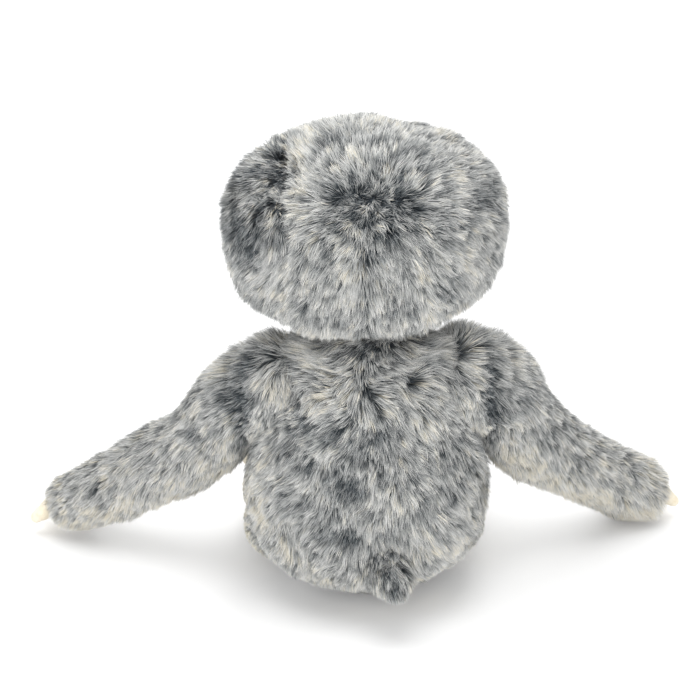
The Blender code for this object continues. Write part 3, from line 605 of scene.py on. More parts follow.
def finish_mesh(thing: Thing, finish: str) -> Thing:
    """Turns a closed mesh's faces outwards, smooths it and dresses it.

    Args:
        thing: The piece.
        finish: The slot of its finish.

    Returns:
        The piece.
    """
    choose(thing)
    bpy.ops.object.mode_set(mode="EDIT")
    bpy.ops.mesh.select_all(action="SELECT")
    bpy.ops.mesh.normals_make_consistent(inside=False)
    bpy.ops.object.mode_set(mode="OBJECT")
    bpy.ops.object.shade_smooth()
    thing.data.materials.clear()
    thing.data.materials.append(FINISHES[finish])
    clear_choice()
    return thing


def fit(piece: Thing, body: str, node: str) -> None:
    """Attaches a finished piece to its body and hides the CAD node that it replaces.

    Args:
        piece: The piece.
        body: The body that it rides on.
        node: The CAD node that it replaces.
    """
    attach(piece, body)
    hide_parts(node)
    LOG.info("%s", piece.name)


def wrapped_ball(name: str, sides: int, rings: int, lay: Callable[[Array], Array]) -> Thing:
    """A ball whose points are laid onto a form.

    Args:
        name: The piece's name.
        sides: How many sides it has round.
        rings: How many rings from top to bottom.
        lay: Gives the places for points of a ball of radius one.

    Returns:
        The piece.
    """
    clear_choice()
    bpy.ops.mesh.primitive_uv_sphere_add(segments=sides, ring_count=rings, radius=1.0,
                                         location=(0.0, 0.0, 0.0))
    thing = bpy.context.object
    thing.name = thing.data.name = name
    set_corners(thing, lay(corners(thing)))
    return thing


def ball_steps(ball: Array, count: int) -> tuple[Array, Array]:
    """The ring from the top, and the turn, of each point of a ball with so many rings."""
    row = np.rint(np.arccos(np.clip(ball[:, 2], -1.0, 1.0)) / math.pi * count).astype(int)
    return row, np.arctan2(ball[:, 1], ball[:, 0])


def lofted(name: str, rings: Array, sides: int, across: Array, flat: float = 1.0) -> Thing:
    """A round form along a line, closed at both ends.

    Args:
        name: The piece's name.
        rings: Rows of x, y, z and radius, with radius 0 at both ends.
        sides: How many sides it has round.
        across: The level direction across the line.
        flat: The share of the radius that it has upwards.

    Returns:
        The piece.
    """
    middles, radii = rings[:, :3], rings[:, 3]
    headings = unit(np.gradient(middles, axis=0))
    lifts = unit(np.cross(across[None, :], headings))

    def lay(ball: Array) -> Array:
        """The rings' places for the points of the ball.

        Args:
            ball: Points of a ball of radius one.

        Returns:
            A place for each point.
        """
        row, turn = ball_steps(ball, len(rings) - 1)
        return (middles[row] + across * (radii[row] * np.cos(turn))[:, None]
                + lifts[row] * (flat * radii[row] * np.sin(turn))[:, None])

    return wrapped_ball(name, sides, len(rings) - 1, lay)


def roughen(thing: Thing, amount: float, size: float, seed: int) -> None:
    """Gives a stuffed form the small lumps of its filling.

    Args:
        thing: The form's object.
        amount: How high a lump rises, in metres.
        size: How wide a lump is, in metres.
        seed: Which pattern.
    """
    places = corners(thing)
    middle = places.mean(axis=0)
    away = unit(places - middle)
    set_corners(thing, places + away * (amount * cloudiness(places, size, seed))[:, None])


def hollow(thing: Thing, middle: Sequence[float], radius: float) -> None:
    """Cuts a round socket into a piece.

    Args:
        thing: The piece.
        middle: The socket's middle.
        radius: The socket's radius.
    """
    clear_choice()
    bpy.ops.mesh.primitive_uv_sphere_add(segments=32, ring_count=16, radius=radius,
                                         location=tuple(middle))
    cutter = bpy.context.object
    apply_modifier(thing, "BOOLEAN", operation="DIFFERENCE", solver="EXACT", object=cutter)
    bpy.data.objects.remove(cutter)


# Finishes


class Nodes:
    """A material's node tree, built step by step."""

    def __init__(self, name: str) -> None:
        """Starts a material with a Principled shader.

        Args:
            name: The material's name.
        """
        self.material = bpy.data.materials.new(name)
        self.material.use_nodes = True
        self.tree = self.material.node_tree
        self.shader = self.tree.nodes["Principled BSDF"]

    def add(self, kind: str, **settings: object) -> bpy.types.Node:
        """Adds a node with its settings.

        Args:
            kind: Blender's name for the node.
            **settings: Values for its properties.

        Returns:
            The node.
        """
        node = self.tree.nodes.new(kind)
        for name, value in settings.items():
            setattr(node, name, value)
        return node

    def join(self, source: Socket, target: Socket) -> None:
        """Links two sockets."""
        self.tree.links.new(source, target)

    def noise(self, size: float, detail: float = 4.0) -> Socket:
        """Noise over the piece's own place.

        Args:
            size: The size of its spots, in metres.
            detail: How many finer levels it has.

        Returns:
            The socket of its value.
        """
        place = self.add("ShaderNodeTexCoord")
        cloud = self.add("ShaderNodeTexNoise")
        cloud.inputs["Scale"].default_value = 1.0 / size
        cloud.inputs["Detail"].default_value = detail
        self.join(place.outputs["Object"], cloud.inputs["Vector"])
        return cloud.outputs["Fac"]

    def ramp(self, value: Socket, run: Stops) -> Socket:
        """A run of colours over a value.

        Args:
            value: The socket that it reads.
            run: Places from 0 to 1 with their colours.

        Returns:
            The socket of the colour.
        """
        node = self.add("ShaderNodeValToRGB")
        band = node.color_ramp
        while len(band.elements) < len(run):
            band.elements.new(0.5)
        for element, (place, colour) in zip(band.elements, run):
            element.position = place
            element.color = (*colour, 1.0)
        self.join(value, node.inputs["Fac"])
        return node.outputs["Color"]

    def mixed(self, share: Socket, first: Socket, second: Socket) -> Socket:
        """Two colours mixed by a share.

        Args:
            share: How much of the second it has.
            first: The first colour.
            second: The second colour.

        Returns:
            The socket of the colour.
        """
        node = self.add("ShaderNodeMix", data_type="RGBA")
        self.join(share, node.inputs["Factor"])
        self.join(first, node.inputs["A"])
        self.join(second, node.inputs["B"])
        return node.outputs["Result"]

    def bump(self, height: Socket, strength: float, depth: float) -> None:
        """Gives the shader bumps from a height.

        Args:
            height: The socket of the height.
            strength: How much it counts.
            depth: How deep it is.
        """
        node = self.add("ShaderNodeBump")
        node.inputs["Strength"].default_value = strength
        node.inputs["Distance"].default_value = depth
        self.join(height, node.inputs["Height"])
        self.join(node.outputs["Normal"], self.shader.inputs["Normal"])

    def finished(self, colour: Socket, levels: dict[str, float]) -> Material:
        """Gives the shader its colour and its levels, and hands over the material.

        Args:
            colour: The socket that gives the colour.
            levels: Values for the shader's inputs, by name.

        Returns:
            The finished material.
        """
        self.join(colour, self.shader.inputs["Base Color"])
        for name, value in levels.items():
            self.shader.inputs[name].default_value = value
        return self.material


def stops(*rows: tuple[float, int, int, int]) -> Stops:
    """Stops of a run of colours, from rows of a place from 0 to 1 and red, green and blue."""
    return tuple((place, linear(*colour)) for place, *colour in rows)


@dataclass(frozen=True)
class PileFinish:
    """A pile whose strands run from dark roots to frosted tips, in pale and dark tufts."""

    name: str
    cream: Stops
    pale: Stops
    dark: Stops
    roughness: float = 0.72
    sheen: float = 0.12
    sheen_roughness: float = 0.5
    specular: float = 0.12

    def build(self) -> Material:
        """Makes the material, which reads the strand's own map: tuft tone and root to tip.

        Returns:
            The material.
        """
        nodes = Nodes(self.name)
        chart = nodes.add("ShaderNodeUVMap", uv_map=PILE_MAP)
        split = nodes.add("ShaderNodeSeparateXYZ")
        nodes.join(chart.outputs["UV"], split.inputs["Vector"])
        warmth = nodes.add("ShaderNodeMapRange")
        warmth.inputs["From Max"].default_value = CREAM_SHARE
        depth = nodes.add("ShaderNodeMapRange")
        depth.inputs["From Min"].default_value = CREAM_SHARE
        for node in (warmth, depth):
            nodes.join(split.outputs["X"], node.inputs["Value"])
        cream, pale, dark = (nodes.ramp(split.outputs["Y"], run)
                             for run in (self.cream, self.pale, self.dark))
        colour = nodes.mixed(warmth.outputs["Result"], cream, pale)
        colour = nodes.mixed(depth.outputs["Result"], colour, dark)
        return nodes.finished(colour, {
            "Roughness": self.roughness, "Sheen Weight": self.sheen,
            "Sheen Roughness": self.sheen_roughness, "Specular IOR Level": self.specular})


@dataclass(frozen=True)
class ClothFinish:
    """Knitted or woven cloth with small uneven patches and a fine nap."""

    name: str
    light: Level
    shade: Level
    patch: float = 0.0060
    nap: float = 0.0006
    depth: float = 0.0004
    strength: float = 0.6
    roughness: float = 0.9
    sheen: float = 0.3

    def build(self) -> Material:
        """Makes the material.

        Returns:
            The material.
        """
        nodes = Nodes(self.name)
        colour = nodes.ramp(nodes.noise(self.patch), stops((0.3, *self.shade), (0.7, *self.light)))
        nodes.bump(nodes.noise(self.nap, 2.0), self.strength, self.depth)
        return nodes.finished(colour, {"Roughness": self.roughness, "Sheen Weight": self.sheen})


@dataclass(frozen=True)
class SatinFinish:
    """Satin stitches laid side by side, for the nose and the mouth."""

    name: str
    light: Level
    shade: Level
    thread: float = 0.0007
    waver: float = 0.7
    strength: float = 0.7
    depth: float = 0.0003
    roughness: float = 0.42
    sheen: float = 0.2

    def build(self) -> Material:
        """Makes the material, with upright threads and a soft sheen along them.

        Returns:
            The material.
        """
        nodes = Nodes(self.name)
        place = nodes.add("ShaderNodeTexCoord")
        bands = nodes.add("ShaderNodeTexWave", bands_direction="X", wave_profile="SIN")
        bands.inputs["Scale"].default_value = math.tau / (20.0 * self.thread)
        bands.inputs["Distortion"].default_value = self.waver
        bands.inputs["Detail"].default_value = 1.0
        nodes.join(place.outputs["Object"], bands.inputs["Vector"])
        colour = nodes.ramp(bands.outputs["Fac"], stops((0.15, *self.shade), (0.75, *self.light)))
        nodes.bump(bands.outputs["Fac"], self.strength, self.depth)
        return nodes.finished(colour, {"Roughness": self.roughness, "Sheen Weight": self.sheen})


@dataclass(frozen=True)
class PlasticFinish:
    """Moulded plastic with a hint of wear."""

    name: str
    light: Level
    shade: Level
    cloud: float = 0.0030
    scuff: float = 0.0008
    strength: float = 0.05
    depth: float = 0.0001
    roughness: float = 0.09
    coat: float = 0.1
    coat_roughness: float = 0.05
    specular: float = 0.3

    def build(self) -> Material:
        """Makes the material.

        Returns:
            The material.
        """
        nodes = Nodes(self.name)
        run = stops((0.35, *self.shade), (0.75, *self.light))
        colour = nodes.ramp(nodes.noise(self.cloud), run)
        nodes.bump(nodes.noise(self.scuff, 2.0), self.strength, self.depth)
        return nodes.finished(colour, {
            "Roughness": self.roughness, "Specular IOR Level": self.specular,
            "Coat Weight": self.coat, "Coat Roughness": self.coat_roughness})


CREAM_FUR = stops((0.0, 104, 102, 94), (0.36, 162, 157, 144), (0.68, 226, 220, 203),
                  (1.0, 251, 246, 233))
PALE_FUR = stops((0.0, 52, 58, 64), (0.36, 112, 117, 119), (0.64, 214, 215, 212),
                 (1.0, 254, 253, 250))
DARK_FUR = stops((0.0, 16, 20, 23), (0.44, 31, 37, 42), (0.76, 66, 73, 78),
                 (1.0, 190, 194, 194))
CREAM_PALE = stops((0.0, 206, 195, 172), (0.5, 240, 232, 213), (1.0, 252, 247, 233))
CREAM_DARK = stops((0.0, 186, 173, 147), (0.5, 224, 213, 190), (1.0, 242, 234, 214))
BROWN_PALE = stops((0.0, 34, 28, 25), (0.5, 66, 54, 47), (1.0, 104, 88, 77))
BROWN_DARK = stops((0.0, 20, 17, 16), (0.5, 42, 34, 30), (1.0, 66, 54, 48))

FINISHES: dict[str, Material] = {slot: finish.build() for slot, finish in {
    "grey_fur": PileFinish("frosted_grey_fur", CREAM_FUR, PALE_FUR, DARK_FUR),
    "cream_plush": PileFinish("cream_short_pile", CREAM_PALE, CREAM_PALE, CREAM_DARK),
    "dark_plush": PileFinish("brown_short_pile", BROWN_PALE, BROWN_PALE, BROWN_DARK),
    "fur_backing": ClothFinish("knitted_fur_backing", (92, 100, 108), (58, 66, 74)),
    "plush_backing": ClothFinish("knitted_cream_backing", (238, 228, 207), (212, 199, 172)),
    "patch_backing": ClothFinish("knitted_brown_backing", (64, 52, 46), (40, 33, 29)),
    "cream_suede": ClothFinish("cream_suede", (246, 239, 221), (230, 218, 192),
                               patch=0.0045, nap=0.00035, depth=0.00025, sheen=0.45),
    "brown_satin": SatinFinish("brown_satin_stitch", (60, 40, 31), (28, 17, 13)),
    "dark_thread": SatinFinish("dark_twisted_thread", (62, 48, 42), (34, 26, 23), 0.0005),
    "black_plastic": PlasticFinish("domed_black_plastic", (22, 18, 16), (10, 8, 8)),
    "clear_plastic": PlasticFinish("milky_washer_plastic", (218, 220, 216), (196, 199, 196),
                                   roughness=0.35, coat=0.0),
    "white_fibre": ClothFinish("white_fibre_filling", (236, 236, 232), (212, 212, 208),
                               patch=0.004, nap=0.0009, depth=0.0009),
    "pellet_cloth": ClothFinish("pellet_bag_cloth", (206, 202, 190), (182, 176, 160),
                                patch=0.0035, nap=0.0012),
    "cotton_lining": ClothFinish("cotton_lining", (214, 212, 204), (190, 187, 176)),
}.items()}


# Pile


@dataclass(frozen=True)
class Spot:
    """A round place with an amount: how far it bulges, or how much darker its fur is."""

    place: Place
    radius: float
    amount: float


def spots_of(*rows: tuple[float, float, float, float, float]) -> tuple[Spot, ...]:
    """Spots from rows of x, y, z and radius, in millimetres, and the amount."""
    return tuple(Spot((x / 1000, y / 1000, z / 1000), radius / 1000, amount)
                 for x, y, z, radius, amount in rows)


def amounts(places: Array, spots: Sequence[Spot]) -> Array:
    """What the spots amount to at each place, fading with distance.

    Args:
        places: Rows of points.
        spots: The spots.

    Returns:
        A number for each place.
    """
    total = np.zeros(len(places))
    for spot in spots:
        gap = np.linalg.norm(places - np.array(spot.place), axis=1) / spot.radius
        total += spot.amount * np.exp(-gap ** 2)
    return total


def swell(thing: Thing, bulges: Sequence[Spot]) -> None:
    """Moves a form's surface out or in at its bulges."""
    places = corners(thing)
    set_corners(thing, places + smooth_normals(thing) * amounts(places, bulges)[:, None])


@dataclass
class Roots:
    """Where strands grow, and how they lie there."""

    places: Array
    normals: Array
    flow: Array
    lift: Array
    length: Array
    tone: Array
    loose: Array

    def part(self, kept: Array) -> "Roots":
        """The roots that a mask or a list of numbers keeps."""
        return Roots(*(getattr(self, column.name)[kept] for column in fields(self)))


Reading = tuple[Array, Array, Array, Array, Array]
Field = Callable[[Array, Array], Reading]


@dataclass
class Coat:
    """One sewn-on pile: where it grows and how its tufts fall.

    The field gives, for places and normals: the way that the pile is combed, its lift from
    the backing in radians, its length as a share, its tone from 0, pale, to 1, dark, and how
    loose it stands, from 0, in tufts, to 1, strand by strand.
    """

    name: str
    body: str
    pile: Pile
    field_of: Field
    density: float = 4.2e6
    length: float = 0.0114
    width: float = 0.00029
    tuft_spacing: float = 0.0048
    lock_spacing: float = 0.0014
    tuft_draw: float = 0.36
    lock_draw: float = 0.50
    stray: float = 0.32
    sag: float = 0.10
    frost: float = 0.42
    first_lean: float = 1.12
    bend: float = 0.55
    gather: float = 1.3
    uneven: float = 0.12
    roll: float = 0.9
    seed: int = 1
    steps: tuple[float, ...] = (0.0, 0.52, 1.0)
    thinness: tuple[float, ...] = (0.85, 1.0, 0.62)

    def scatter(self, backing: Thing, spacing: float, rng: np.random.Generator
                ) -> tuple[Array, Array]:
        """Spreads places evenly over a backing.

        Args:
            backing: The mesh that they lie on.
            spacing: About how far apart they are.
            rng: The source of chance.

        Returns:
            The places and the backing's smooth normals there.
        """
        picks = triangles(backing)
        places = corners(backing)
        normals = smooth_normals(backing)
        a, b, c = (places[picks[:, k]] for k in range(3))
        area = 0.5 * np.linalg.norm(np.cross(b - a, c - a), axis=1)
        count = int(area.sum() / spacing ** 2)
        chosen = np.searchsorted(np.cumsum(area) / area.sum(), rng.random(count))
        chosen = np.minimum(chosen, len(area) - 1)
        one, two = rng.random(count), rng.random(count)
        fold = one + two > 1.0
        one[fold], two[fold] = 1.0 - one[fold], 1.0 - two[fold]
        weights = np.column_stack((1.0 - one - two, one, two))
        spots = sum(places[picks[chosen, k]] * weights[:, k:k + 1] for k in range(3))
        leaning = sum(normals[picks[chosen, k]] * weights[:, k:k + 1] for k in range(3))
        return spots, unit(leaning)

    def roots(self, backing: Thing, spacing: float, rng: np.random.Generator,
              jitter: float) -> Roots:
        """Scatters roots and reads the field there.

        Args:
            backing: The mesh that they lie on.
            spacing: About how far apart they are.
            rng: The source of chance.
            jitter: How far their directions stray, in radians.

        Returns:
            The roots.
        """
        places, normals = self.scatter(backing, spacing, rng)
        flow, lift, length, tone, loose = self.field_of(places, normals)
        flow = unit(flow - normals * np.sum(flow * normals, axis=1)[:, None])
        turn = rng.normal(0.0, jitter, len(places)) * (1.0 + 3.0 * loose)
        side = np.cross(normals, flow)
        flow = flow * np.cos(turn)[:, None] + side * np.sin(turn)[:, None]
        lift = np.clip(lift + rng.normal(0.0, 0.6 * jitter, len(places)), 0.05, 1.5)
        length = length * (1.0 + rng.normal(0.0, self.uneven, len(places)))
        tone = tone + rng.normal(0.0, self.frost, len(places))
        return Roots(places, normals, flow, lift, length, tone, loose)

    def curves(self, roots: Roots) -> Array:
        """The middle lines of strands that bend towards their tips.

        Args:
            roots: Where they grow.

        Returns:
            For each strand, its places at the coat's steps.
        """
        lines = [roots.places]
        for low, high in zip(self.steps, self.steps[1:]):
            lean = roots.lift * (self.first_lean - self.bend * 0.5 * (low + high))
            heading = (roots.flow * np.cos(lean)[:, None] + roots.normals * np.sin(lean)[:, None]
                       - UP * self.sag * (low + high))
            run = (self.length * (high - low) * roots.length)[:, None]
            lines.append(lines[-1] + unit(heading) * run)
        return np.stack(lines, axis=1)

    def drawn(self, curves: Array, roots: Roots, centres: Array, middles: Array, draw: float
              ) -> tuple[Array, Array]:
        """Draws strands together towards the middle line of their tuft.

        Args:
            curves: The strands' own lines.
            roots: Their roots.
            centres: The roots of the tufts.
            middles: The tufts' middle lines.
            draw: How far the tips come together, from 0 to 1.

        Returns:
            The drawn lines, and the tuft of each strand.
        """
        tree = KDTree(len(centres))
        for index, centre in enumerate(centres):
            tree.insert(centre, index)
        tree.balance()
        nearest = np.array([tree.find(root)[1] for root in roots.places])
        pull = np.outer(draw * (1.0 - roots.loose), np.array(self.steps) ** self.gather)
        drawn = curves + (middles[nearest] - curves) * pull[:, :, None]
        return drawn, nearest

    def grow(self, backing: Thing, kept: Callable[[Array], Array]) -> None:
        """Grows the pile, as one or more pieces.

        Args:
            backing: The mesh that it grows from.
            kept: Says for each place whether pile grows there.
        """
        rng = np.random.default_rng(self.seed)
        tufts = self.roots(backing, self.tuft_spacing, rng, 1.9 * self.stray)
        locks = self.roots(backing, self.lock_spacing, rng, 1.0 * self.stray)
        strands = self.roots(backing, self.density ** -0.5, rng, 0.5 * self.stray)
        strands = strands.part(kept(strands.places))
        tuft_lines = self.curves(tufts)
        lock_lines, lock_tuft = self.drawn(self.curves(locks), locks, tufts.places,
                                           tuft_lines, self.tuft_draw)
        lines, lock = self.drawn(self.curves(strands), strands, locks.places,
                                 lock_lines, self.lock_draw)
        own, of_lock, of_tuft = TONE_SHARES
        tone = (own * strands.tone + of_lock * locks.tone[lock]
                + of_tuft * tufts.tone[lock_tuft[lock]])
        lines[:, :, 2] = np.maximum(lines[:, :, 2], LOWEST_STRAND)
        shift = rng.normal(0.0, 0.12, len(locks.places))[lock] + rng.normal(0.0, 0.06, len(lines))
        order = rng.permutation(len(lines))
        parts = max(1, math.ceil(len(lines) / PIECE_STRANDS))
        for number, some in enumerate(np.array_split(order, parts), 1):
            name = self.name if parts == 1 else f"{self.name}_{number}"
            piece = self.ribbons(name, lines[some], strands.part(some), tone[some],
                                 shift[some], rng)
            piece.data.materials.append(FINISHES[self.pile.value])
            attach(piece, self.body)
        LOG.info("%s: %d strands in %d pieces", self.name, len(lines), parts)

    def ribbons(self, name: str, lines: Array, roots: Roots, tone: Array, shift: Array,
                rng: np.random.Generator) -> Thing:
        """Makes narrow ribbons along lines, with the tone and the run from root to tip mapped.

        Args:
            name: The piece's name.
            lines: The strands' middle lines.
            roots: Where they grow.
            tone: Their tones from 0 to 1.
            shift: How far up or down each one's frosting starts.
            rng: The source of chance.

        Returns:
            The piece.
        """
        count = len(lines)
        along = unit(lines[:, -1] - lines[:, 0])
        side = unit(np.cross(along, roots.normals))
        face = np.cross(side, along)
        roll = rng.uniform(-self.roll, self.roll, count)[:, None]
        side = side * np.cos(roll) + face * np.sin(roll)
        widths = self.width * rng.uniform(0.7, 1.3, count)[:, None]
        last = len(self.steps) - 1
        rows = []
        for step, thin in zip(range(last), self.thinness):
            half = side * widths * 0.5 * thin
            rows += [lines[:, step] - half, lines[:, step] + half]
        rows.append(lines[:, last])
        points = len(rows)
        places = np.stack(rows, axis=1).reshape(-1, 3)
        pattern = [number for step in range(last - 1)
                   for number in (2 * step, 2 * step + 1, 2 * step + 3, 2 * step + 2)]
        pattern = np.array(pattern + [2 * last - 2, 2 * last - 1, 2 * last])
        corner_count = len(pattern)
        loops = (np.arange(count)[:, None] * points + pattern[None, :]).ravel()
        first = np.arange(last) * 4
        starts = (np.arange(count)[:, None] * corner_count + first[None, :]).ravel()
        mesh = bpy.data.meshes.new(name)
        mesh.vertices.add(len(places))
        mesh.vertices.foreach_set("co", places.astype(np.float32).ravel())
        mesh.loops.add(len(loops))
        mesh.loops.foreach_set("vertex_index", loops.astype(np.int32))
        mesh.polygons.add(len(starts))
        mesh.polygons.foreach_set("loop_start", starts.astype(np.int32))
        mesh.update(calc_edges=True)
        shade = CREAM_SHARE + (1.0 - CREAM_SHARE) * tone
        column = (np.clip(shade, 0.0, 0.999) * TONE_STEPS).astype(int)
        left = (column + 0.25) / TONE_STEPS
        right = (column + 0.75) / TONE_STEPS
        across = np.where(pattern == 2 * last, 0.5, pattern % 2)
        run = np.array(self.steps)[pattern // 2]
        chart = np.empty((count, corner_count, 2), np.float32)
        chart[:, :, 0] = left[:, None] + (right - left)[:, None] * across[None, :]
        chart[:, :, 1] = np.clip(run[None, :] + shift[:, None] * (run > 0.0), 0.004, 0.996)
        layer = mesh.uv_layers.new(name=PILE_MAP)
        layer.data.foreach_set("uv", chart.ravel())
        shown = unit(np.repeat(roots.normals + unit(np.cross(side, along)) * 0.35
                               + along * 0.15, points, axis=0))
        mesh.shade_smooth()
        mesh.normals_split_custom_set_from_vertices(shown.astype(np.float32))
        piece = bpy.data.objects.new(name, mesh)
        bpy.context.scene.collection.objects.link(piece)
        return piece


def spotted(places: Array, spots: Sequence[Spot], depth: float) -> Array:
    """What the spots add to each place's tone, the dark ones taken depth times."""
    total = amounts(places, spots)
    return np.where(total > 0.0, depth, 1.0) * total


def short_coat(name: str, pile: Pile, field_of: Field, seed: int, density: float,
               sizes: tuple[float, float, float, float], body: str = "head") -> Coat:
    """A short even pile. Sizes: its strands' length and width, a tuft's and a lock's spacing."""
    return Coat(name, body, pile, field_of, density, *sizes, stray=0.35, sag=0.05, frost=0.2,
                seed=seed)


def armhole(places: Array) -> tuple[Array, Array]:
    """How places lie about the line on the back where an arm meets the torso.

    Args:
        places: Rows of points.

    Returns:
        How far each lies outside the line, and how much it is beside it, from 0 to 1.
    """
    beyond = np.abs(places[:, 0]) - np.interp(places[:, 2], ARMHOLE_HEIGHTS, ARMHOLE_REACHES)
    level = ease(places[:, 2], *ARMHOLE_RISE) * (1.0 - ease(places[:, 2], *ARMHOLE_TOP))
    return beyond, level * ease(places[:, 1], *ARMHOLE_BACK)


def mottled(places: Array, seed: int) -> Array:
    """The uneven frosting of the fur, from large patches down to single tufts.

    Args:
        places: Rows of points.
        seed: Which pattern.

    Returns:
        A tone for each place.
    """
    tone = np.full(len(places), MOTTLE_MIDDLE)
    for size, amount in MOTTLE:
        tone += amount * cloudiness(places, size, seed)
        seed += 1
    return tone


# Sub-assemblies


@dataclass
class Torso:
    """The torso's fur, with its belly panel and the sockets of head and limbs."""

    backing_inset: float = BACKING_INSET
    lump_height: float = 0.0007
    lump_size: float = 0.018
    lowest: float = 0.0012
    panel: Oval = BELLY_PANEL
    seat: Span = (-0.055, -0.008)
    shoulder_rise: Span = (0.112, 0.136)
    shoulder_side: Span = (0.012, 0.030)
    collar_rise: Span = (0.120, 0.134)
    collar_back: Span = (-0.010, 0.012)
    # The fur in the arms' creases on the torso is shorter, and painted shade darkens it, fading out
    # upwards.
    crease: Span = (0.000, 0.009)
    crease_top: Span = (0.128, 0.138)
    crease_fade: Span = (0.088, 0.100)
    # Where the lower flanks are painted paler, as painted light.
    flank_side: Span = (0.044, 0.058)
    flank_top: Span = (0.08, 0.10)
    head_depth: float = 0.007
    arm_depth: float = 0.0075
    leg_depth: float = 0.0040
    tail_depth: float = 0.002
    tail_room: float = 0.0032
    bulges: tuple[Spot, ...] = spots_of(
        (52, 20, 30, 22, -0.0024), (-50, 20, 26, 24, -0.0038), (0, 40, 12, 26, -0.0012),
        (36, 4, 128, 14, 0.0035), (-36, 4, 128, 14, 0.0035), (60, 6, 42, 20, -0.0010),
        (-60, 6, 42, 20, -0.0010), (61, -4, 76, 18, 0.0018), (0, 31, 11, 18, -0.0032),
        (25, 26, 12, 17, -0.0034), (-25, 26, 12, 17, -0.0034), (38, 8, 13, 16, -0.0028),
        (-38, 8, 13, 16, -0.0024))
    spots: tuple[Spot, ...] = spots_of(
        (13, 21, 140, 6, 0.38), (27, 5, 140, 5, 0.30), (0, 21, 142, 6, 0.40),
        (-32, -8, 136, 6, 0.40), (-20, 14, 141, 5, 0.28), (-7, 26, 136, 5, 0.40),
        (-46, -5, 119, 6, 0.35), (-54, -9, 123, 5, 0.30), (33, 32, 109, 6, 0.55),
        (40, 32, 99, 6, 0.35), (14, 42, 108, 5, 0.45), (-1, 45, 105, 7, 0.65),
        (1, 47, 98, 5, 0.45), (-10, 42, 111, 5, 0.45), (-16, 45, 99, 6, 0.35),
        (35, 39, 89, 6, 0.40), (18, 46, 92, 5, 0.40), (11, 49, 84, 7, 0.60),
        (19, 49, 80, 5, 0.35), (24, 48, 72, 5, 0.35), (-17, 48, 87, 6, 0.35),
        (-32, 44, 79, 5, 0.30), (-25, 48, 70, 6, 0.40), (14, 52, 60, 8, 0.55),
        (28, 48, 44, 6, 0.35), (-5, 53, 58, 6, 0.35), (41, 37, 78, 5, 0.25),
        (53, 19, 87, 9, -0.30), (57, 20, 60, 12, -0.35), (-28, 48, 49, 9, -0.30),
        (41, 40, 44, 10, -0.30), (-49, 32, 63, 9, -0.35), (21, 30, 125, 10, -0.15),
        (-24, 29, 124, 9, -0.10), (27, 46, 30, 9, -0.30), (-44, 38, 44, 10, -0.35),
        (10, 53, 47, 5, -0.15), (36, 22, 119, 5, -0.35), (24, 32, 118, 5, -0.35),
        (8, 38, 116, 5, -0.45), (-4, 37, 118, 5, -0.35), (6, 50, 92, 5, -0.30),
        (28, 44, 82, 5, -0.25), (-10, 50, 78, 6, -0.30), (-22, 43, 106, 6, -0.40),
        (4, 53, 68, 5, -0.30), (20, 51, 52, 5, -0.25), (-50, 26, 22, 12, -0.50),
        (-40, 36, 14, 10, -0.45), (46, 30, 16, 10, -0.35), (20, 46, 12, 10, -0.30))

    def comb(self, places: Array, normals: Array) -> Reading:
        """The torso's field: down and away from the centre-back seam, in swirling tufts.

        Args:
            places: Rows of points on the backing.
            normals: The backing's normals there; not used.

        Returns:
            What the coat's field gives there.
        """
        count = len(places)
        out = np.column_stack((np.tanh((places[:, 0] - 0.002) / 0.012) * 0.40, np.zeros(count),
                               np.full(count, -1.0)))
        swirl = drift(places, 0.018, 31) * (1.0, 1.0, 0.5)
        fine = drift(places, 0.009, 36)
        flow = out + 0.78 * swirl + 0.62 * fine
        lift = 0.70 + 0.30 * cloudiness(places, 0.014, 34) + 0.20 * cloudiness(places, 0.006, 39)
        length = 1.0 + 0.12 * cloudiness(places, 0.010, 35)
        low = ease(-places[:, 2], *self.seat)
        lift = lift * (1.0 - 0.40 * low)
        length = length * (1.0 - 0.44 * low)
        high = ease(places[:, 2], *self.shoulder_rise)
        high = high * ease(np.abs(places[:, 0]), *self.shoulder_side)
        collar = ease(places[:, 2], *self.collar_rise) * ease(places[:, 1], *self.collar_back)
        flow = flow + np.column_stack((np.sign(places[:, 0]) * 1.3 * high, np.zeros(count),
                                       0.9 * high + 0.5 * collar))
        lift = lift + 0.25 * high + 0.40 * collar
        length = length + 0.35 * high + 0.18 * collar
        fold = np.minimum(arm_form(Side.LEFT).nearest(places)[2],
                          arm_form(Side.RIGHT).nearest(places)[2])
        crease = (1.0 - ease(fold, *self.crease)) * (1.0 - ease(places[:, 2], *self.crease_top))
        length = length * (1.0 - 0.22 * crease)
        spots = spotted(places, self.spots, 1.7)
        bare = np.clip(spots, 0.0, 1.0)
        lift = lift + 0.40 * bare
        length = length * (1.0 - 0.22 * bare)
        speckle = 0.95 * bare * cloudiness(places, 0.0019, 47)
        # Painted light: the collar under the head is painted paler against the shade that the head
        # casts there, and the seat low on the body is painted paler as painted bounce light from
        # the floor.
        tone = mottled(places, 40) + spots + speckle - 0.14 * low - 0.16 * collar
        # Painted shade: the fur in the creases where the arms meet the torso is painted darker,
        # fading out upwards.
        tone = tone + 0.40 * crease * (1.0 - 0.85 * ease(places[:, 2], *self.crease_fade))
        # Painted light: the lower flanks are painted paler against the shade that falls on the
        # body's sides.
        flank_light = ease(np.abs(places[:, 0]), *self.flank_side)
        tone = tone - 0.20 * (flank_light * (1.0 - ease(places[:, 2], *self.flank_top)))
        return flow, lift, length, tone, 0.55 * bare

    def kept(self, places: Array) -> Array:
        """Where fur grows: outside the belly panel, the head and the limbs' roots.

        Args:
            places: Rows of points.

        Returns:
            True for each place where it grows.
        """
        grows = self.panel.outside(places) & ~HEAD.holds(places, self.head_depth)
        for side in Side:
            grows &= arm_form(side).nearest(places)[2] > -self.arm_depth
            grows &= leg_form(side).nearest(places)[2] > -self.leg_depth
        return grows & (tail_form().nearest(places)[2] > -self.tail_depth)

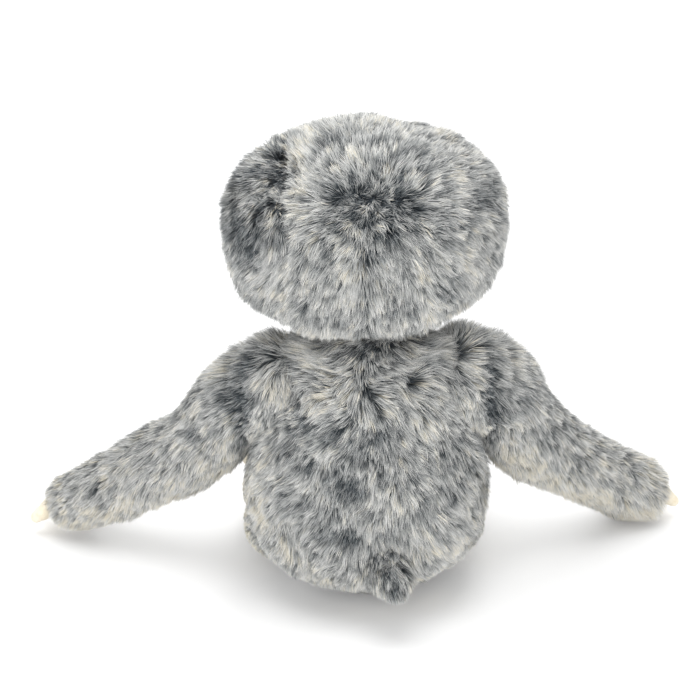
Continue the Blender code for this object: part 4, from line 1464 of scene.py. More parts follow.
    def build(self) -> None:
        """Builds the backing, its fur and the belly panel."""
        backing = wrapped_ball("torso_backing", 72, 44,
                               lambda ball: TORSO.wrap(ball, self.backing_inset))
        roughen(backing, self.lump_height, self.lump_size, 5)
        swell(backing, self.bulges)
        places = corners(backing)
        places[:, 2] = np.maximum(places[:, 2], self.lowest)
        set_corners(backing, places)
        finish_mesh(backing, "fur_backing")
        coat = Coat("torso_pile", "torso", Pile.GREY_FUR, self.comb, seed=11)
        coat.grow(backing, self.kept)
        for side in Side:
            for form in (arm_form(side), leg_form(side)):
                hollow(backing, form.root, form.root_radius + ROOT_ROOM - self.backing_inset)
        tail = tail_form()
        hollow(backing, tail.root, tail.root_radius - self.tail_room)
        finish_mesh(backing, "fur_backing")
        fit(backing, "torso", "torso_cover")
        self.belly()

    def belly(self) -> None:
        """Builds the short-pile panel in the belly."""
        panel = wrapped_ball("belly_panel_backing", 48, 20, self.panel.lay)
        finish_mesh(panel, "plush_backing")
        coat = short_coat("belly_pile", Pile.CREAM_PLUSH, short_comb(51), 12, 4.5e6,
                          (0.0038, 0.00036, 0.0030, 0.0012), "torso")
        coat.grow(panel, self.panel.fronts)
        fit(panel, "torso", "belly_panel")


def short_comb(seed: int) -> Field:
    """The field of a short pile that stands up and falls a little downwards.

    Args:
        seed: Which patterns.

    Returns:
        The field.
    """
    def field_of(places: Array, normals: Array) -> Reading:
        """Reads the short pile's field.

        Args:
            places: Rows of points on the backing.
            normals: The backing's normals there; not used.

        Returns:
            What the coat's field gives there.
        """
        count = len(places)
        flow = np.column_stack((0.6 * cloudiness(places, 0.008, seed),
                                0.6 * cloudiness(places, 0.008, seed + 1), np.full(count, -1.0)))
        lift = 0.85 + 0.3 * cloudiness(places, 0.004, seed + 2)
        tone = 0.35 + 0.35 * cloudiness(places, 0.005, seed + 3)
        return flow, lift, np.ones(count), tone, np.zeros(count)

    return field_of


@dataclass
class Head:
    """The head's fur, with its whorl, side panel and face opening."""

    backing_inset: float = BACKING_INSET
    lump_height: float = 0.0008
    lump_size: float = 0.020
    whorl: Place = (0.0020, 0.0420, 0.2210)
    seam_x: float = 0.0350
    side_whorl: Place = (0.0430, 0.0240, 0.2270)
    seam_line: float = 0.0040
    panel: Oval = FACE_PANEL
    neck_room: float = 0.0335
    seam_half: float = 0.0012
    side_rise: Span = (0.190, 0.205)
    side_back: Span = (-0.010, 0.000)
    fallen: Span = (0.020, 0.120)
    ridge_back: Span = (0.020, 0.035)
    ridge_top: Span = (-0.212, -0.200)
    standing: Span = (0.198, 0.220)
    whorl_reach: Span = (0.006, 0.028)
    under: Span = (-0.166, -0.148)
    tips_rise: Span = (0.196, 0.210)
    tips_back: Span = (0.0, 0.01)
    outer: Span = (0.040, 0.062)
    bulges: tuple[Spot, ...] = spots_of(
        (-66, 6, 186, 30, -0.0042), (-46, 10, 160, 24, -0.0042), (-36, 0, 246, 20, -0.0040),
        (50, 6, 236, 16, 0.0040), (48, 10, 160, 22, -0.0022), (0, 36, 150, 22, -0.0016))
    spots: tuple[Spot, ...] = spots_of(
        (7, 39, 226, 8, 0.40), (-5, 45, 215, 8, 0.45), (-3, 42, 222, 7, 0.30),
        (-11, 38, 227, 6, 0.30), (14, 43, 217, 6, 0.25), (36, 8, 242, 5, 0.60),
        (44, 21, 231, 6, 0.45), (36, 30, 227, 5, 0.60), (50, 14, 231, 6, 0.35),
        (66, 14, 207, 6, 0.45), (38, 36, 217, 5, 0.45), (62, 2, 225, 6, 0.30),
        (35, 40, 206, 5, 0.30), (59, 24, 199, 6, 0.30), (-33, 30, 230, 6, 0.25),
        (-53, 15, 227, 6, 0.40), (-50, 26, 220, 6, 0.35), (-43, 19, 233, 5, 0.30),
        (-16, 21, 242, 6, 0.15), (-21, 28, 236, 6, 0.30), (-39, 35, 215, 6, 0.30),
        (-32, 41, 209, 6, 0.25), (19, 46, 193, 5, 0.25), (-10, 45, 174, 6, 0.35),
        (14, 39, 161, 6, 0.40), (26, 44, 200, 5, 0.25), (2, 48, 190, 5, 0.20),
        (43, 36, 177, 6, 0.25), (-35, 39, 177, 6, 0.20), (29, 21, 238, 6, -0.30),
        (29, 33, 227, 7, -0.50), (19, 3, 248, 8, -0.25), (1, 19, 245, 8, -0.15),
        (-27, 1, 247, 10, -0.30), (-3, 47, 200, 8, -0.20), (14, 46, 203, 6, -0.25),
        (-62, 19, 208, 8, -0.30), (7, 45, 172, 10, -0.15), (50, 33, 192, 9, -0.15),
        (-22, 45, 194, 8, -0.15), (40, 33, 166, 9, -0.25), (-28, 37, 163, 10, -0.25),
        (-6, -4, 251, 14, -0.30))

    def side_panel(self, places: Array) -> Array:
        """How far each place belongs to the panel left of the seam, from 0 to 1."""
        beside = ease(places[:, 0], self.seam_x - self.seam_half, self.seam_x + self.seam_half)
        return beside * ease(places[:, 2], *self.side_rise) * ease(places[:, 1], *self.side_back)

    def comb(self, places: Array, normals: Array) -> Reading:
        """The head's field: out from the whorl on the crown, and down with distance.

        Args:
            places: Rows of points on the backing.
            normals: The backing's normals there; not used.

        Returns:
            What the coat's field gives there.
        """
        away = places - np.array(self.whorl)
        reach = np.linalg.norm(away, axis=1)
        far = ease(reach, *self.fallen)[:, None]
        down = -UP[None, :]
        flow = unit(away) * (1.0 - 0.55 * far) + down * 0.55 * far
        ridge = np.exp(-((places[:, 0] - self.seam_line) / 0.010) ** 2)
        ridge *= ease(places[:, 1], *self.ridge_back) * ease(-places[:, 2], *self.ridge_top)
        flow[:, 0] += 0.55 * np.tanh((places[:, 0] - self.seam_line) / 0.0025) * ridge
        beside = places - np.array(self.side_whorl)
        panel = self.side_panel(places)[:, None]
        flow = flow * (1.0 - panel) + unit(0.5 * unit(beside) + 0.8 * down) * panel
        swirl = drift(places, 0.016, 61)
        fine = drift(places, 0.005, 66)
        stand = panel[:, 0] * ease(places[:, 2], *self.standing)
        near = np.maximum(1.0 - ease(reach, *self.whorl_reach), 0.90 * stand)
        flow = unit(flow) + 0.40 * swirl + 1.6 * fine * near[:, None]
        lift = 0.60 + 0.22 * cloudiness(places, 0.012, 64) + 0.78 * near
        length = 1.0 + 0.10 * cloudiness(places, 0.009, 65) - 0.22 * near
        edge = np.exp(-((places[:, 0] - self.seam_x - 0.0030) / 0.0030) ** 2)
        length = length - 0.35 * edge * panel[:, 0]
        under = ease(-places[:, 2], *self.under)
        hem = cloudiness(places, 0.0040, 69)
        length = length * (1.0 - (0.40 - 0.30 * hem) * under)
        lift = lift * (1.0 + (0.35 + 0.40 * hem) * under)
        spots = spotted(places, self.spots, 1.5)
        bare = np.clip(spots, 0.0, 1.0)
        lift = lift + 0.35 * bare
        length = length * (1.0 - 0.15 * bare)
        tone = mottled(places, 70) + spots + 0.03 + 0.16 * panel[:, 0]
        tips = np.exp(-((places[:, 0] - self.seam_x + 0.0060) / 0.0045) ** 2)
        tips = 0.42 * tips * ease(places[:, 2], *self.tips_rise)
        tone = tone - tips * ease(places[:, 1], *self.tips_back)
        tone = tone + 0.14 * ease(places[:, 0], *self.outer) - 0.06 * under
        tone = tone + 1.25 * np.maximum(near, bare) * cloudiness(places, 0.0018, 76)
        return flow, lift, length, tone, np.maximum(0.80 * near, 0.50 * bare)

    def kept(self, places: Array) -> Array:
        """Where fur grows: outside the face, and not in the seat on the neck."""
        reach = np.linalg.norm(places - np.array(TORSO.neck), axis=1)
        return self.panel.outside(places) & (reach > self.neck_room + 0.001)

    def build(self) -> None:
        """Builds the backing and its fur."""
        backing = wrapped_ball("head_backing", 80, 48,
                               lambda ball: HEAD.wrap(ball, self.backing_inset))
        roughen(backing, self.lump_height, self.lump_size, 6)
        swell(backing, self.bulges)
        finish_mesh(backing, "fur_backing")
        coat = Coat("head_pile", "head", Pile.GREY_FUR, self.comb, seed=21)
        coat.grow(backing, self.kept)
        hollow(backing, TORSO.neck, self.neck_room)
        finish_mesh(backing, "fur_backing")
        fit(backing, "head", "head_cover")


@dataclass
class Face:
    """The cream face panel with its eye patches, eyes, muzzle, nose and mouth."""

    panel: Oval = FACE_PANEL
    eye_spread: float = 0.0215
    eye_rise: float = 0.0060
    eye_radius: float = 0.0050
    eye_height: float = 0.0034
    eye_inset: float = 0.0031
    eye_rim: float = 0.0012
    eye_edge: float = 0.0004
    shank_radius: float = 0.0017
    shank_depth: float = 0.0075
    patch_inset: float = 0.0034
    patch_half_wall: float = 0.0006
    patch_edge: float = 0.85
    patch_shift: float = 0.0050
    patch_length: float = 0.0165
    patch_width: float = 0.0088
    patch_taper: float = 0.25
    patch_tilt: float = math.radians(28)
    muzzle_half: Place = (0.0180, 0.0120, 0.0130)
    muzzle_drop: float = 0.0110
    muzzle_inset: float = 0.0045
    muzzle_pile: float = 0.0012
    muzzle_foot: tuple[float, float] = (0.0165, 0.0118)
    nose_half: Place = (0.0075, 0.0042, 0.0048)
    nose_rise: float = 0.52
    nose_tuck: float = 0.0006
    nose_thread: float = 0.0007
    nose_ridge: float = 0.00016
    mouth_radius: float = 0.0008
    mouth_width: float = 0.62
    mouth_drop: float = 0.30
    mouth_sag: float = 0.30
    mouth_room: float = 0.0004

    def build(self) -> None:
        """Builds the whole face."""
        self.face()
        for side in Side:
            self.patch(side)
            self.eye(side)
        self.muzzle()
        self.nose()
        self.mouth()

    def face(self) -> None:
        """Builds the face panel and its short pile."""
        panel = wrapped_ball("face_panel_backing", 56, 24, self.panel.lay)
        finish_mesh(panel, "plush_backing")
        coat = short_coat("face_pile", Pile.CREAM_PLUSH, short_comb(81), 31, 5.0e6,
                          (0.0032, 0.00034, 0.0028, 0.0011))
        coat.grow(panel, self.pile_kept)
        fit(panel, "head", "face_panel")

    def pile_kept(self, places: Array) -> Array:
        """Where the panel's pile grows: on its front, beside the muzzle and the patches.

        Args:
            places: Rows of points.

        Returns:
            True for each place where it grows.
        """
        grows = self.panel.fronts(places)
        middle = self.panel.height - self.muzzle_drop
        wide, high = self.muzzle_foot
        grows &= (places[:, 0] / wide) ** 2 + ((places[:, 2] - middle) / high) ** 2 > 1.0
        for side in Side:
            along, beside = self.patch_shares(side, places)
            grows &= along ** 2 + beside ** 2 > self.patch_edge
        return grows

    def patch_middle(self, side: Side) -> tuple[float, float]:
        """Where an eye patch has its middle, seen from the front."""
        rise = self.panel.height + self.eye_rise - self.patch_shift * math.tan(self.patch_tilt)
        return side.value * (self.eye_spread + self.patch_shift), rise

    def patch_shares(self, side: Side, places: Array) -> tuple[Array, Array]:
        """How far places lie along and beside an eye patch, as shares of its half sizes.

        Args:
            side: Left or right.
            places: Rows of points.

        Returns:
            The shares along and beside the patch.
        """
        middle_x, middle_z = self.patch_middle(side)
        across = (places[:, 0] - middle_x) * side.value
        height = places[:, 2] - middle_z
        cos, sin = math.cos(self.patch_tilt), math.sin(self.patch_tilt)
        along = (across * cos - height * sin) / self.patch_length
        beside = (across * sin + height * cos) / self.patch_width
        return along, beside / (1.0 + self.patch_taper * np.clip(along, -1.0, 1.0))

    def patch(self, side: Side) -> None:
        """Builds one dark eye patch and its pile.

        Args:
            side: Left or right.
        """
        middle_x, middle_z = self.patch_middle(side)
        eye = np.array(self.eye_place(side)[0])
        cos, sin = math.cos(self.patch_tilt), math.sin(self.patch_tilt)

        def lay(ball: Array) -> Array:
            """The patch's places: a slanting drop, thin and curved.

            Args:
                ball: Points of a ball of radius one.

            Returns:
                A place for each point.
            """
            along = self.patch_length * ball[:, 0]
            taper = 1.0 + self.patch_taper * ball[:, 0]
            beside = self.patch_width * ball[:, 1] * taper
            across = middle_x + side.value * (along * cos + beside * sin)
            height = middle_z - along * sin + beside * cos
            front = HEAD.front_y(across, height, self.patch_inset)
            return np.column_stack((across, front - self.patch_half_wall * ball[:, 2], height))

        def kept(places: Array) -> Array:
            """Where the patch's pile grows: on its front, beside the eye.

            Args:
                places: Rows of points.

            Returns:
                True or false for each point.
            """
            front = HEAD.front_y(places[:, 0], places[:, 2], self.patch_inset)
            reach = np.linalg.norm((places - eye)[:, [0, 2]], axis=1)
            return (places[:, 1] < front) & (reach > self.eye_radius - self.eye_edge)

        name = f"{side.word}_eye_patch"
        piece = wrapped_ball(f"{name}_backing", 40, 16, lay)
        finish_mesh(piece, "patch_backing")
        coat = short_coat(f"{name}_pile", Pile.DARK_PLUSH, short_comb(91), 32, 7.0e6,
                          (0.0026, 0.00030, 0.0024, 0.0010))
        coat.grow(piece, kept)
        fit(piece, "head", name)

    def eye_place(self, side: Side) -> tuple[Vector, Vector]:
        """An eye's place on its patch, and the way it looks.

        Args:
            side: Left or right.

        Returns:
            The middle of its foot, and its direction.
        """
        across, step = side.value * self.eye_spread, self.shank_radius
        height = self.panel.height + self.eye_rise
        xs = np.array((across, across + step, across - step, across, across))
        zs = np.array((height, height, height, height + step, height - step))
        ys = HEAD.front_y(xs, zs, self.eye_inset)
        normal = Vector((ys[1] - ys[2], -2 * step, ys[3] - ys[4])).normalized()
        return Vector((across, ys[0], height)), normal

    def eye(self, side: Side) -> None:
        """Builds one domed eye with its shank.

        Args:
            side: Left or right.
        """
        place, normal = self.eye_place(side)
        turn = normal.to_track_quat("Z", "Y").to_matrix()
        rows = [(0.0, -self.shank_depth), (self.shank_radius, -self.shank_depth + 0.0002),
                (self.shank_radius, 0.0002), (self.eye_radius - 0.0003, self.eye_edge),
                (self.eye_radius, self.eye_edge + 0.0003), (self.eye_radius, self.eye_rim)]
        rows += [(self.eye_radius * math.cos(angle),
                  self.eye_rim + self.eye_height * math.sin(angle)) for angle in quarter(12)]
        profile = np.array(rows[::-1])
        count = len(profile) - 1

        def lay(ball: Array) -> Array:
            """The turned eye's places.

            Args:
                ball: Points of a ball of radius one.

            Returns:
                A place for each point.
            """
            row, angle = ball_steps(ball, count)
            local = np.column_stack((profile[row, 0] * np.cos(angle),
                                     profile[row, 0] * np.sin(angle), profile[row, 1]))
            return np.array(place) + local @ np.array(turn).T

        piece = wrapped_ball(f"{side.word}_eye_dome", 40, count, lay)
        finish_mesh(piece, "black_plastic")
        choose(piece)
        bpy.ops.object.shade_smooth_by_angle(angle=math.radians(50))
        fit(piece, "head", f"{side.word}_eye")

    def muzzle_middle(self) -> Array:
        """The middle of the muzzle's rounded form.

        Returns:
            Its x, y and z.
        """
        rise = self.panel.height - self.muzzle_drop
        front = HEAD.front_y(np.array((0.0,)), np.array((rise,)), self.muzzle_inset)[0]
        return np.array((0.0, front, rise))

    def muzzle(self) -> None:
        """Builds the padded muzzle and its short pile."""
        middle, half = self.muzzle_middle(), np.array(self.muzzle_half)

        def lay(ball: Array) -> Array:
            """The muzzle's places, a little narrower at its top, and flat behind.

            Args:
                ball: Points of a ball of radius one.

            Returns:
                A place for each point.
            """
            shaped = ball.copy()
            shaped[:, 1] = np.where(ball[:, 1] > 0.0, 0.12 * ball[:, 1], ball[:, 1])
            shaped[:, 0] *= 1.0 - 0.05 * ball[:, 2]
            return middle + shaped * (half - self.muzzle_pile)

        piece = wrapped_ball("muzzle_backing", 48, 28, lay)
        finish_mesh(piece, "plush_backing")
        coat = short_coat("muzzle_pile", Pile.CREAM_PLUSH, self.muzzle_comb, 33, 8.0e6,
                          (0.0022, 0.00028, 0.0022, 0.0009))
        coat.grow(piece, self.muzzle_kept)
        fit(piece, "head", "muzzle")

    def muzzle_comb(self, places: Array, normals: Array) -> Reading:
        """The muzzle's field: away from the nose.

        Args:
            places: Rows of points on the backing.
            normals: The backing's normals there; not used.

        Returns:
            What the coat's field gives there.
        """
        away = unit(places - self.muzzle_point(0.0, self.nose_rise))
        count = len(places)
        tone = 0.25 + 0.3 * cloudiness(places, 0.005, 99)
        return away, np.full(count, 0.75), np.ones(count), tone, np.zeros(count)

    def muzzle_kept(self, places: Array) -> Array:
        """Where the muzzle's pile grows: on its front, beside the nose.

        Args:
            places: Rows of points.

        Returns:
            True or false for each point.
        """
        nose = self.muzzle_point(0.0, self.nose_rise)
        wide = (places[:, 0] - nose[0]) / (self.nose_half[0] - self.nose_tuck)
        high = (places[:, 2] - nose[2]) / (self.nose_half[2] - self.nose_tuck)
        return (places[:, 1] < self.muzzle_middle()[1] + 0.0005) & (wide ** 2 + high ** 2 > 1.0)

    def muzzle_point(self, across: float, rise: float, proud: float = 0.0) -> Array:
        """A place on the muzzle's front, from shares of its half sizes.

        Args:
            across: Its share of the half width.
            rise: Its share of the half height.
            proud: How far it stands off the front.

        Returns:
            The place.
        """
        depth = math.sqrt(max(1.0 - across ** 2 - rise ** 2, 0.0)) * self.muzzle_half[1]
        middle = self.muzzle_middle()
        return middle + np.array((across * self.muzzle_half[0], -depth - proud,
                                  rise * self.muzzle_half[2]))

    def nose(self) -> None:
        """Builds the stitched nose, a rounded triangle that points down."""
        middle = self.muzzle_point(0.0, self.nose_rise)

        def lay(ball: Array) -> Array:
            """The nose's places.

            Args:
                ball: Points of a ball of radius one.

            Returns:
                A place for each point.
            """
            shaped = ball * np.array(self.nose_half)
            shaped[:, 0] *= 0.86 + 0.26 * ball[:, 2]
            ridge = self.nose_ridge * np.cos(shaped[:, 0] / self.nose_thread * math.tau)
            shaped[:, 1] -= ridge * np.clip(-ball[:, 1] * 3.0, 0.0, 1.0)
            return middle + shaped

        piece = wrapped_ball("nose_stitches", 96, 28, lay)
        finish_mesh(piece, "brown_satin")
        fit(piece, "head", "nose")

    def mouth(self) -> None:
        """Builds the stitched mouth, a smile of twisted thread."""
        proud = self.mouth_room + self.mouth_radius
        smile = []
        for step in range(41):
            along = 2 * step / 40 - 1.0
            rise = -self.mouth_drop - self.mouth_sag * (1.0 - along ** 2)
            smile.append(self.muzzle_point(along * self.mouth_width, rise, proud))
        beads = 1.0 + 0.14 * np.abs(np.sin(np.linspace(0.0, 9.0 * math.pi, len(smile))))
        rings = np.column_stack((smile, self.mouth_radius * 0.88 * beads))
        rings[[0, -1], 3] = 0.0
        piece = lofted("mouth_thread", rings, 12, np.array((0.0, 1.0, 0.0)))
        finish_mesh(piece, "dark_thread")
        fit(piece, "head", "mouth_stitching")


@dataclass
class Claws:
    """Three stuffed suede claws, fanned out from the end of a hand or foot."""

    half_width: float = 0.0052
    thickness: float = 0.80
    length: float = 0.0110
    root: float = 0.0058
    bend: float = math.radians(26)
    fan: float = math.radians(34)
    shares: tuple[float, ...] = (0.85, 1.0, 0.98, 0.82)
    seam_depth: float = 0.00035
    seam_width: float = 0.16

    def build(self, name: str, body: str, form: LimbForm, pitch: float) -> None:
        """Builds the claws.

        Args:
            name: What their CAD nodes' names start with.
            body: The body that they ride on.
            form: The limb that they end.
            pitch: How far they point upwards, in radians.
        """
        line = form.line()
        tip, radius = line[-1, :3], line[-1, 3]
        level = unit(np.array((form.outward[0], form.outward[1], 0.0)))
        for index, fan in enumerate((-self.fan, 0.0, self.fan), 1):
            outward = np.array(Matrix.Rotation(fan, 3, "Z") @ Vector(level))
            across = np.cross(outward, UP)
            root_round = self.half_width * self.shares[0]
            start = tip + (outward * math.cos(pitch) + UP * math.sin(pitch)) * (
                radius - self.root + root_round)
            length = self.length + self.root - root_round - self.half_width
            rows, place = [], start
            steps = len(self.shares)
            for step, share in enumerate(self.shares):
                rows.append((*place, self.half_width * share))
                turn = pitch - self.bend * step / (steps - 1)
                place = place + (outward * math.cos(turn) + UP * math.sin(turn)) * (
                    length / (steps - 1))
            line_rows = smooth_rows(np.array(rows), 5)
            piece = self.claw(f"{name}_{index}_stuffed", line_rows, across)
            fit(piece, body, f"{name}_{index}")

    def claw(self, name: str, rows: Array, across: Array) -> Thing:
        """One claw with rounded ends and a seam round its edge.

        Args:
            name: The piece's name.
            rows: Rows of x, y, z and radius.
            across: The level direction across it.

        Returns:
            The piece.
        """
        start = unit(rows[1, :3] - rows[0, :3])
        end = unit(rows[-1, :3] - rows[-2, :3])
        table = capped(rows[0, :3], start, rows[0, 3],
                       [0.5 * math.pi * (step / 6 - 1.0) for step in range(6)])
        table += [tuple(row) for row in rows]
        table += capped(rows[-1, :3], end, rows[-1, 3], quarter(8))
        rings = np.array(table)
        rings[[0, -1], 3] = 0.0
        piece = lofted(name, rings, 28, across, self.thickness)
        places = corners(piece)
        gaps = np.linalg.norm(places[:, None] - rings[None, :, :3], axis=2)
        beside = unit(places - rings[np.argmin(gaps, axis=1), :3])
        seam = np.exp(-(beside @ np.cross(across, start) / self.seam_width) ** 2)
        set_corners(piece, places - beside * (self.seam_depth * seam)[:, None])
        return finish_mesh(piece, "cream_suede")


@dataclass
class Limb:
    """An arm or a leg: its backing, its fur and its claws."""

    name: str
    form: LimbForm
    claw_name: str
    claw_pitch: float
    seed: int
    inset: float = BACKING_INSET
    lift: float = 1.0
    pile_length: float = 1.0
    tip_length: float = 1.0
    crown: float = 0.30
    crown_reach: float = 0.040
    hidden: float = 0.0035
    arm: bool = False
    ground: Span = (-0.016, -0.004)
    wrist: Span = (0.84, 1.0)
    hand: Span = (0.80, 0.95)
    root_inside: float = 0.022
    facing_up: Span = (0.1, 0.8)
    crease: Span = (0.003, 0.013)
    crease_top: Span = (0.124, 0.137)
    shin: Span = (0.048, 0.060)
    inner: float = 0.0035
    spots: tuple[Spot, ...] = ()
    bulges: tuple[Spot, ...] = ()
    claws: Claws = field(default_factory=Claws)

    def comb(self, places: Array, normals: Array) -> Reading:
        """The limb's field: along it and falling at its sides, with dark spots and painted shade in
        its crease with the torso.

        Args:
            places: Rows of points on the backing.
            normals: The backing's normals there.

        Returns:
            What the coat's field gives there.
        """
        share, heading, _ = self.form.nearest(places)
        arm = float(self.arm)
        swirl = drift(places, 0.014, self.seed + 1)
        flow = heading * 0.9 - UP[None, :] * 0.45 + 0.45 * swirl
        lift = 0.62 + 0.22 * cloudiness(places, 0.012, self.seed + 4)
        length = 0.97 + 0.10 * cloudiness(places, 0.009, self.seed + 5)
        low = ease(-places[:, 2], *self.ground)
        lift = lift * (1.0 - 0.55 * low)
        spots = spotted(places, self.spots, 1.6)
        bare = np.clip(spots, 0.0, 1.0)
        lift = lift + 0.35 * bare
        # Painted bounce light: the limbs' undersides are painted paler and creamier, as the floor's
        # bounce light would make them.
        under = ease(-normals[:, 2], -0.1, 0.8)
        tone = mottled(places, self.seed + 6) + spots - 0.06 * share - 0.38 * under
        tone = tone + 0.70 * bare * cloudiness(places, 0.0019, self.seed + 12)
        tone = tone - 0.30 * ease(share, *self.wrist) * arm
        root = np.linalg.norm(places - np.array(self.form.root), axis=1)
        crown = 1.0 - ease(root, self.root_inside, self.crown_reach)
        crown = crown * ease(normals[:, 2], *self.facing_up) * arm
        lift = lift + 0.25 * crown
        fold = TORSO.gap(places)
        crease = (1.0 - ease(fold, *self.crease)) * (1.0 - ease(places[:, 2], *self.crease_top))
        length = length * (1.0 - 0.22 * crease)
        lift = lift * (1.0 - 0.25 * crease)
        beyond, level = armhole(places)
        level = level * arm
        groove = np.exp(-(beyond / 0.0028) ** 2) * level
        within = (1.0 - ease(beyond, -0.0040, 0.0)) * level
        beside = np.exp(-((beyond - 0.0075) / 0.0055) ** 2) * level
        fall = np.column_stack((0.3 * np.sign(places[:, 0]), np.zeros(len(places)),
                                np.full(len(places), -1.0)))
        flow = flow + (fall + 0.45 * swirl - flow) * within[:, None]
        length = length * (1.0 - 0.45 * groove)
        # Painted shade: the fur in the limb's crease with the torso is painted darker, less so
        # along the armhole line.
        tone = tone + 0.50 * crease * (1.0 - 0.85 * level) - 0.12 * crown
        # Painted shade: the groove along the armhole line, and a band of fur just outside it, are
        # painted darker, as the shade in the crease where the arm meets the torso.
        beside *= np.where(places[:, 0] > 0.0, 0.20, 0.10)
        tone = tone + 0.80 * groove - 0.16 * within + beside
        outer = ease(np.abs(places[:, 0]), *self.shin) * (1.0 - arm)
        length = length * (1.0 - 0.40 * outer)
        tone = tone - 0.55 * outer
        hand = (self.tip_length - 1.0) * ease(share, *self.hand)
        length = length * (1.0 - 0.35 * low) + self.crown * crown + hand
        inner = TORSO.holds(places, self.inner)
        lift = np.where(inner, 0.45 * lift, lift)
        length = np.where(inner, 0.60 * length, length)
        return flow, lift * self.lift, length * self.pile_length, tone, 0.5 * bare

    def kept(self, places: Array) -> Array:
        """Where fur grows: outside the torso, and where a turn brings the root out of it."""
        return ~TORSO.holds(places, self.hidden) & (places[:, 2] > 0.0)

    def build(self) -> None:
        """Builds the backing, its fur and its claws."""
        across = unit(np.cross(np.array(self.form.outward), UP))
        backing = lofted(f"{self.name}_backing", self.form.rings(self.inset), 48, across)
        finish_mesh(backing, "fur_backing")
        swell(backing, self.bulges)
        coat = Coat(f"{self.name}_pile", self.name, Pile.GREY_FUR, self.comb, seed=self.seed)
        coat.grow(backing, self.kept)
        fit(backing, self.name, f"{self.name}_cover")
        self.claws.build(self.claw_name, self.name, self.form, self.claw_pitch)


# On each arm, the dark spots that lie high near the shoulder, along its crease with the torso, are
# painted shade in that crease.
ARM_LOOKS = {
    Side.LEFT: dict(
        arm=True, tip_length=0.75, crown=0.42, crown_reach=0.031, hidden=0.0180,
        bulges=spots_of(
            (54.5, 9, 128, 6, -0.0028), (57.5, 16, 115, 6, -0.0028),
            (60.8, 13, 100, 6, -0.0026), (62.8, 3, 85, 6, -0.0020), (46, 0, 136, 12, 0.0030),
            (70, -10, 126, 16, -0.0034), (110, -48, 62, 18, 0.0020)),
        spots=spots_of(
            (50, 4, 136, 6, 0.45), (56, 6, 130, 6, 0.45), (62, 8, 125, 6, 0.40),
            (67, 7, 118, 6, 0.35), (73, 5, 110, 6, 0.30), (88, -7, 91, 6, 0.25),
            (78, -1, 85, 6, 0.15), (112, -30, 68, 6, 0.20), (116, -31, 61, 5, 0.15),
            (97, -18, 59, 9, -0.20), (139, -54, 50, 8, -0.20), (144, -52, 29, 9, -0.25),
            (124, -40, 36, 9, -0.25), (82, -17, 117, 10, -0.25))),
    Side.RIGHT: dict(
        arm=True, tip_length=1.15, crown=0.30, crown_reach=0.040, hidden=0.0180,
        bulges=spots_of(
            (-55, 9, 128, 6, -0.0034), (-57.5, 16, 115, 6, -0.0030),
            (-60.8, 13, 100, 6, -0.0026), (-62.8, 1, 83, 6, -0.0020), (-52, 0, 136, 16, 0.0045),
            (-70, -20, 130, 16, 0.0050), (-86, -30, 112, 16, 0.0050),
            (-104, -44, 90, 18, 0.0055)),
        spots=spots_of(
            (-48, 0, 138, 8, -0.20), (-59, 10, 125, 5, 0.20), (-64, 12, 110, 5, 0.22),
            (-66, -6, 128, 9, -0.20), (-77, 3, 105, 5, 0.30), (-84, -4, 97, 6, 0.25),
            (-92, -11, 87, 6, 0.25), (-136, -49, 38, 6, 0.35), (-154, -63, 26, 6, 0.35),
            (-116, -34, 61, 6, 0.20), (-127, -50, 27, 10, -0.30), (-103, -32, 43, 9, -0.25),
            (-81, -8, 73, 9, -0.25), (-151, -67, 39, 8, -0.20), (-80, -20, 128, 10, -0.20))),
}


@dataclass
class RootPatch:
    """The round patch behind an arm's root, with a short nap for when a turn brings it out."""

    name: str
    body: str
    middle: Place
    inward: Place
    seed: int
    inner: float = 0.0270
    wall: float = 0.0012
    half_angle: float = math.radians(37)

    def lay(self, ball: Array) -> Array:
        """The patch's places: a thin round cap on the ball of the root.

        Args:
            ball: Points of a ball of radius one.

        Returns:
            The points on the patch.
        """
        across = np.hypot(ball[:, 0], ball[:, 1])
        around = unit(ball[:, :2])
        beside = around[:, :1] * np.array((0.0, 1.0, 0.0)) + around[:, 1:] * UP
        turn = (self.half_angle * across)[:, None]
        reach = (self.inner + 0.5 * self.wall * (1.0 + ball[:, 2]))[:, None]
        heading = np.array(self.inward) * np.cos(turn) + beside * np.sin(turn)
        return np.array(self.middle) + heading * reach

    def comb(self, places: Array, normals: Array) -> Reading:
        """The nap's field: down, as on the arm beside it.

        Args:
            places: Rows of points on the backing.
            normals: The backing's normals there; not used.

        Returns:
            What the coat's field gives there.
        """
        count = len(places)
        flow = -UP[None, :] + 0.5 * drift(places, 0.008, self.seed + 1)
        lift = 0.45 + 0.15 * cloudiness(places, 0.006, self.seed + 4)
        return flow, lift, np.ones(count), mottled(places, self.seed + 5), np.zeros(count)

    def kept(self, places: Array) -> Array:
        """Where the nap grows: on the patch's outer side."""
        reach = np.linalg.norm(places - np.array(self.middle), axis=1)
        return reach > self.inner + 0.5 * self.wall

    def build(self) -> None:
        """Builds the patch and its nap."""
        patch = wrapped_ball(f"{self.name}_cloth", 40, 16, self.lay)
        finish_mesh(patch, "cotton_lining")
        coat = Coat(f"{self.name}_nap", self.body, Pile.GREY_FUR, self.comb, length=0.0060,
                    tuft_spacing=0.0040, seed=self.seed)
        coat.grow(patch, self.kept)
        fit(patch, self.body, self.name)


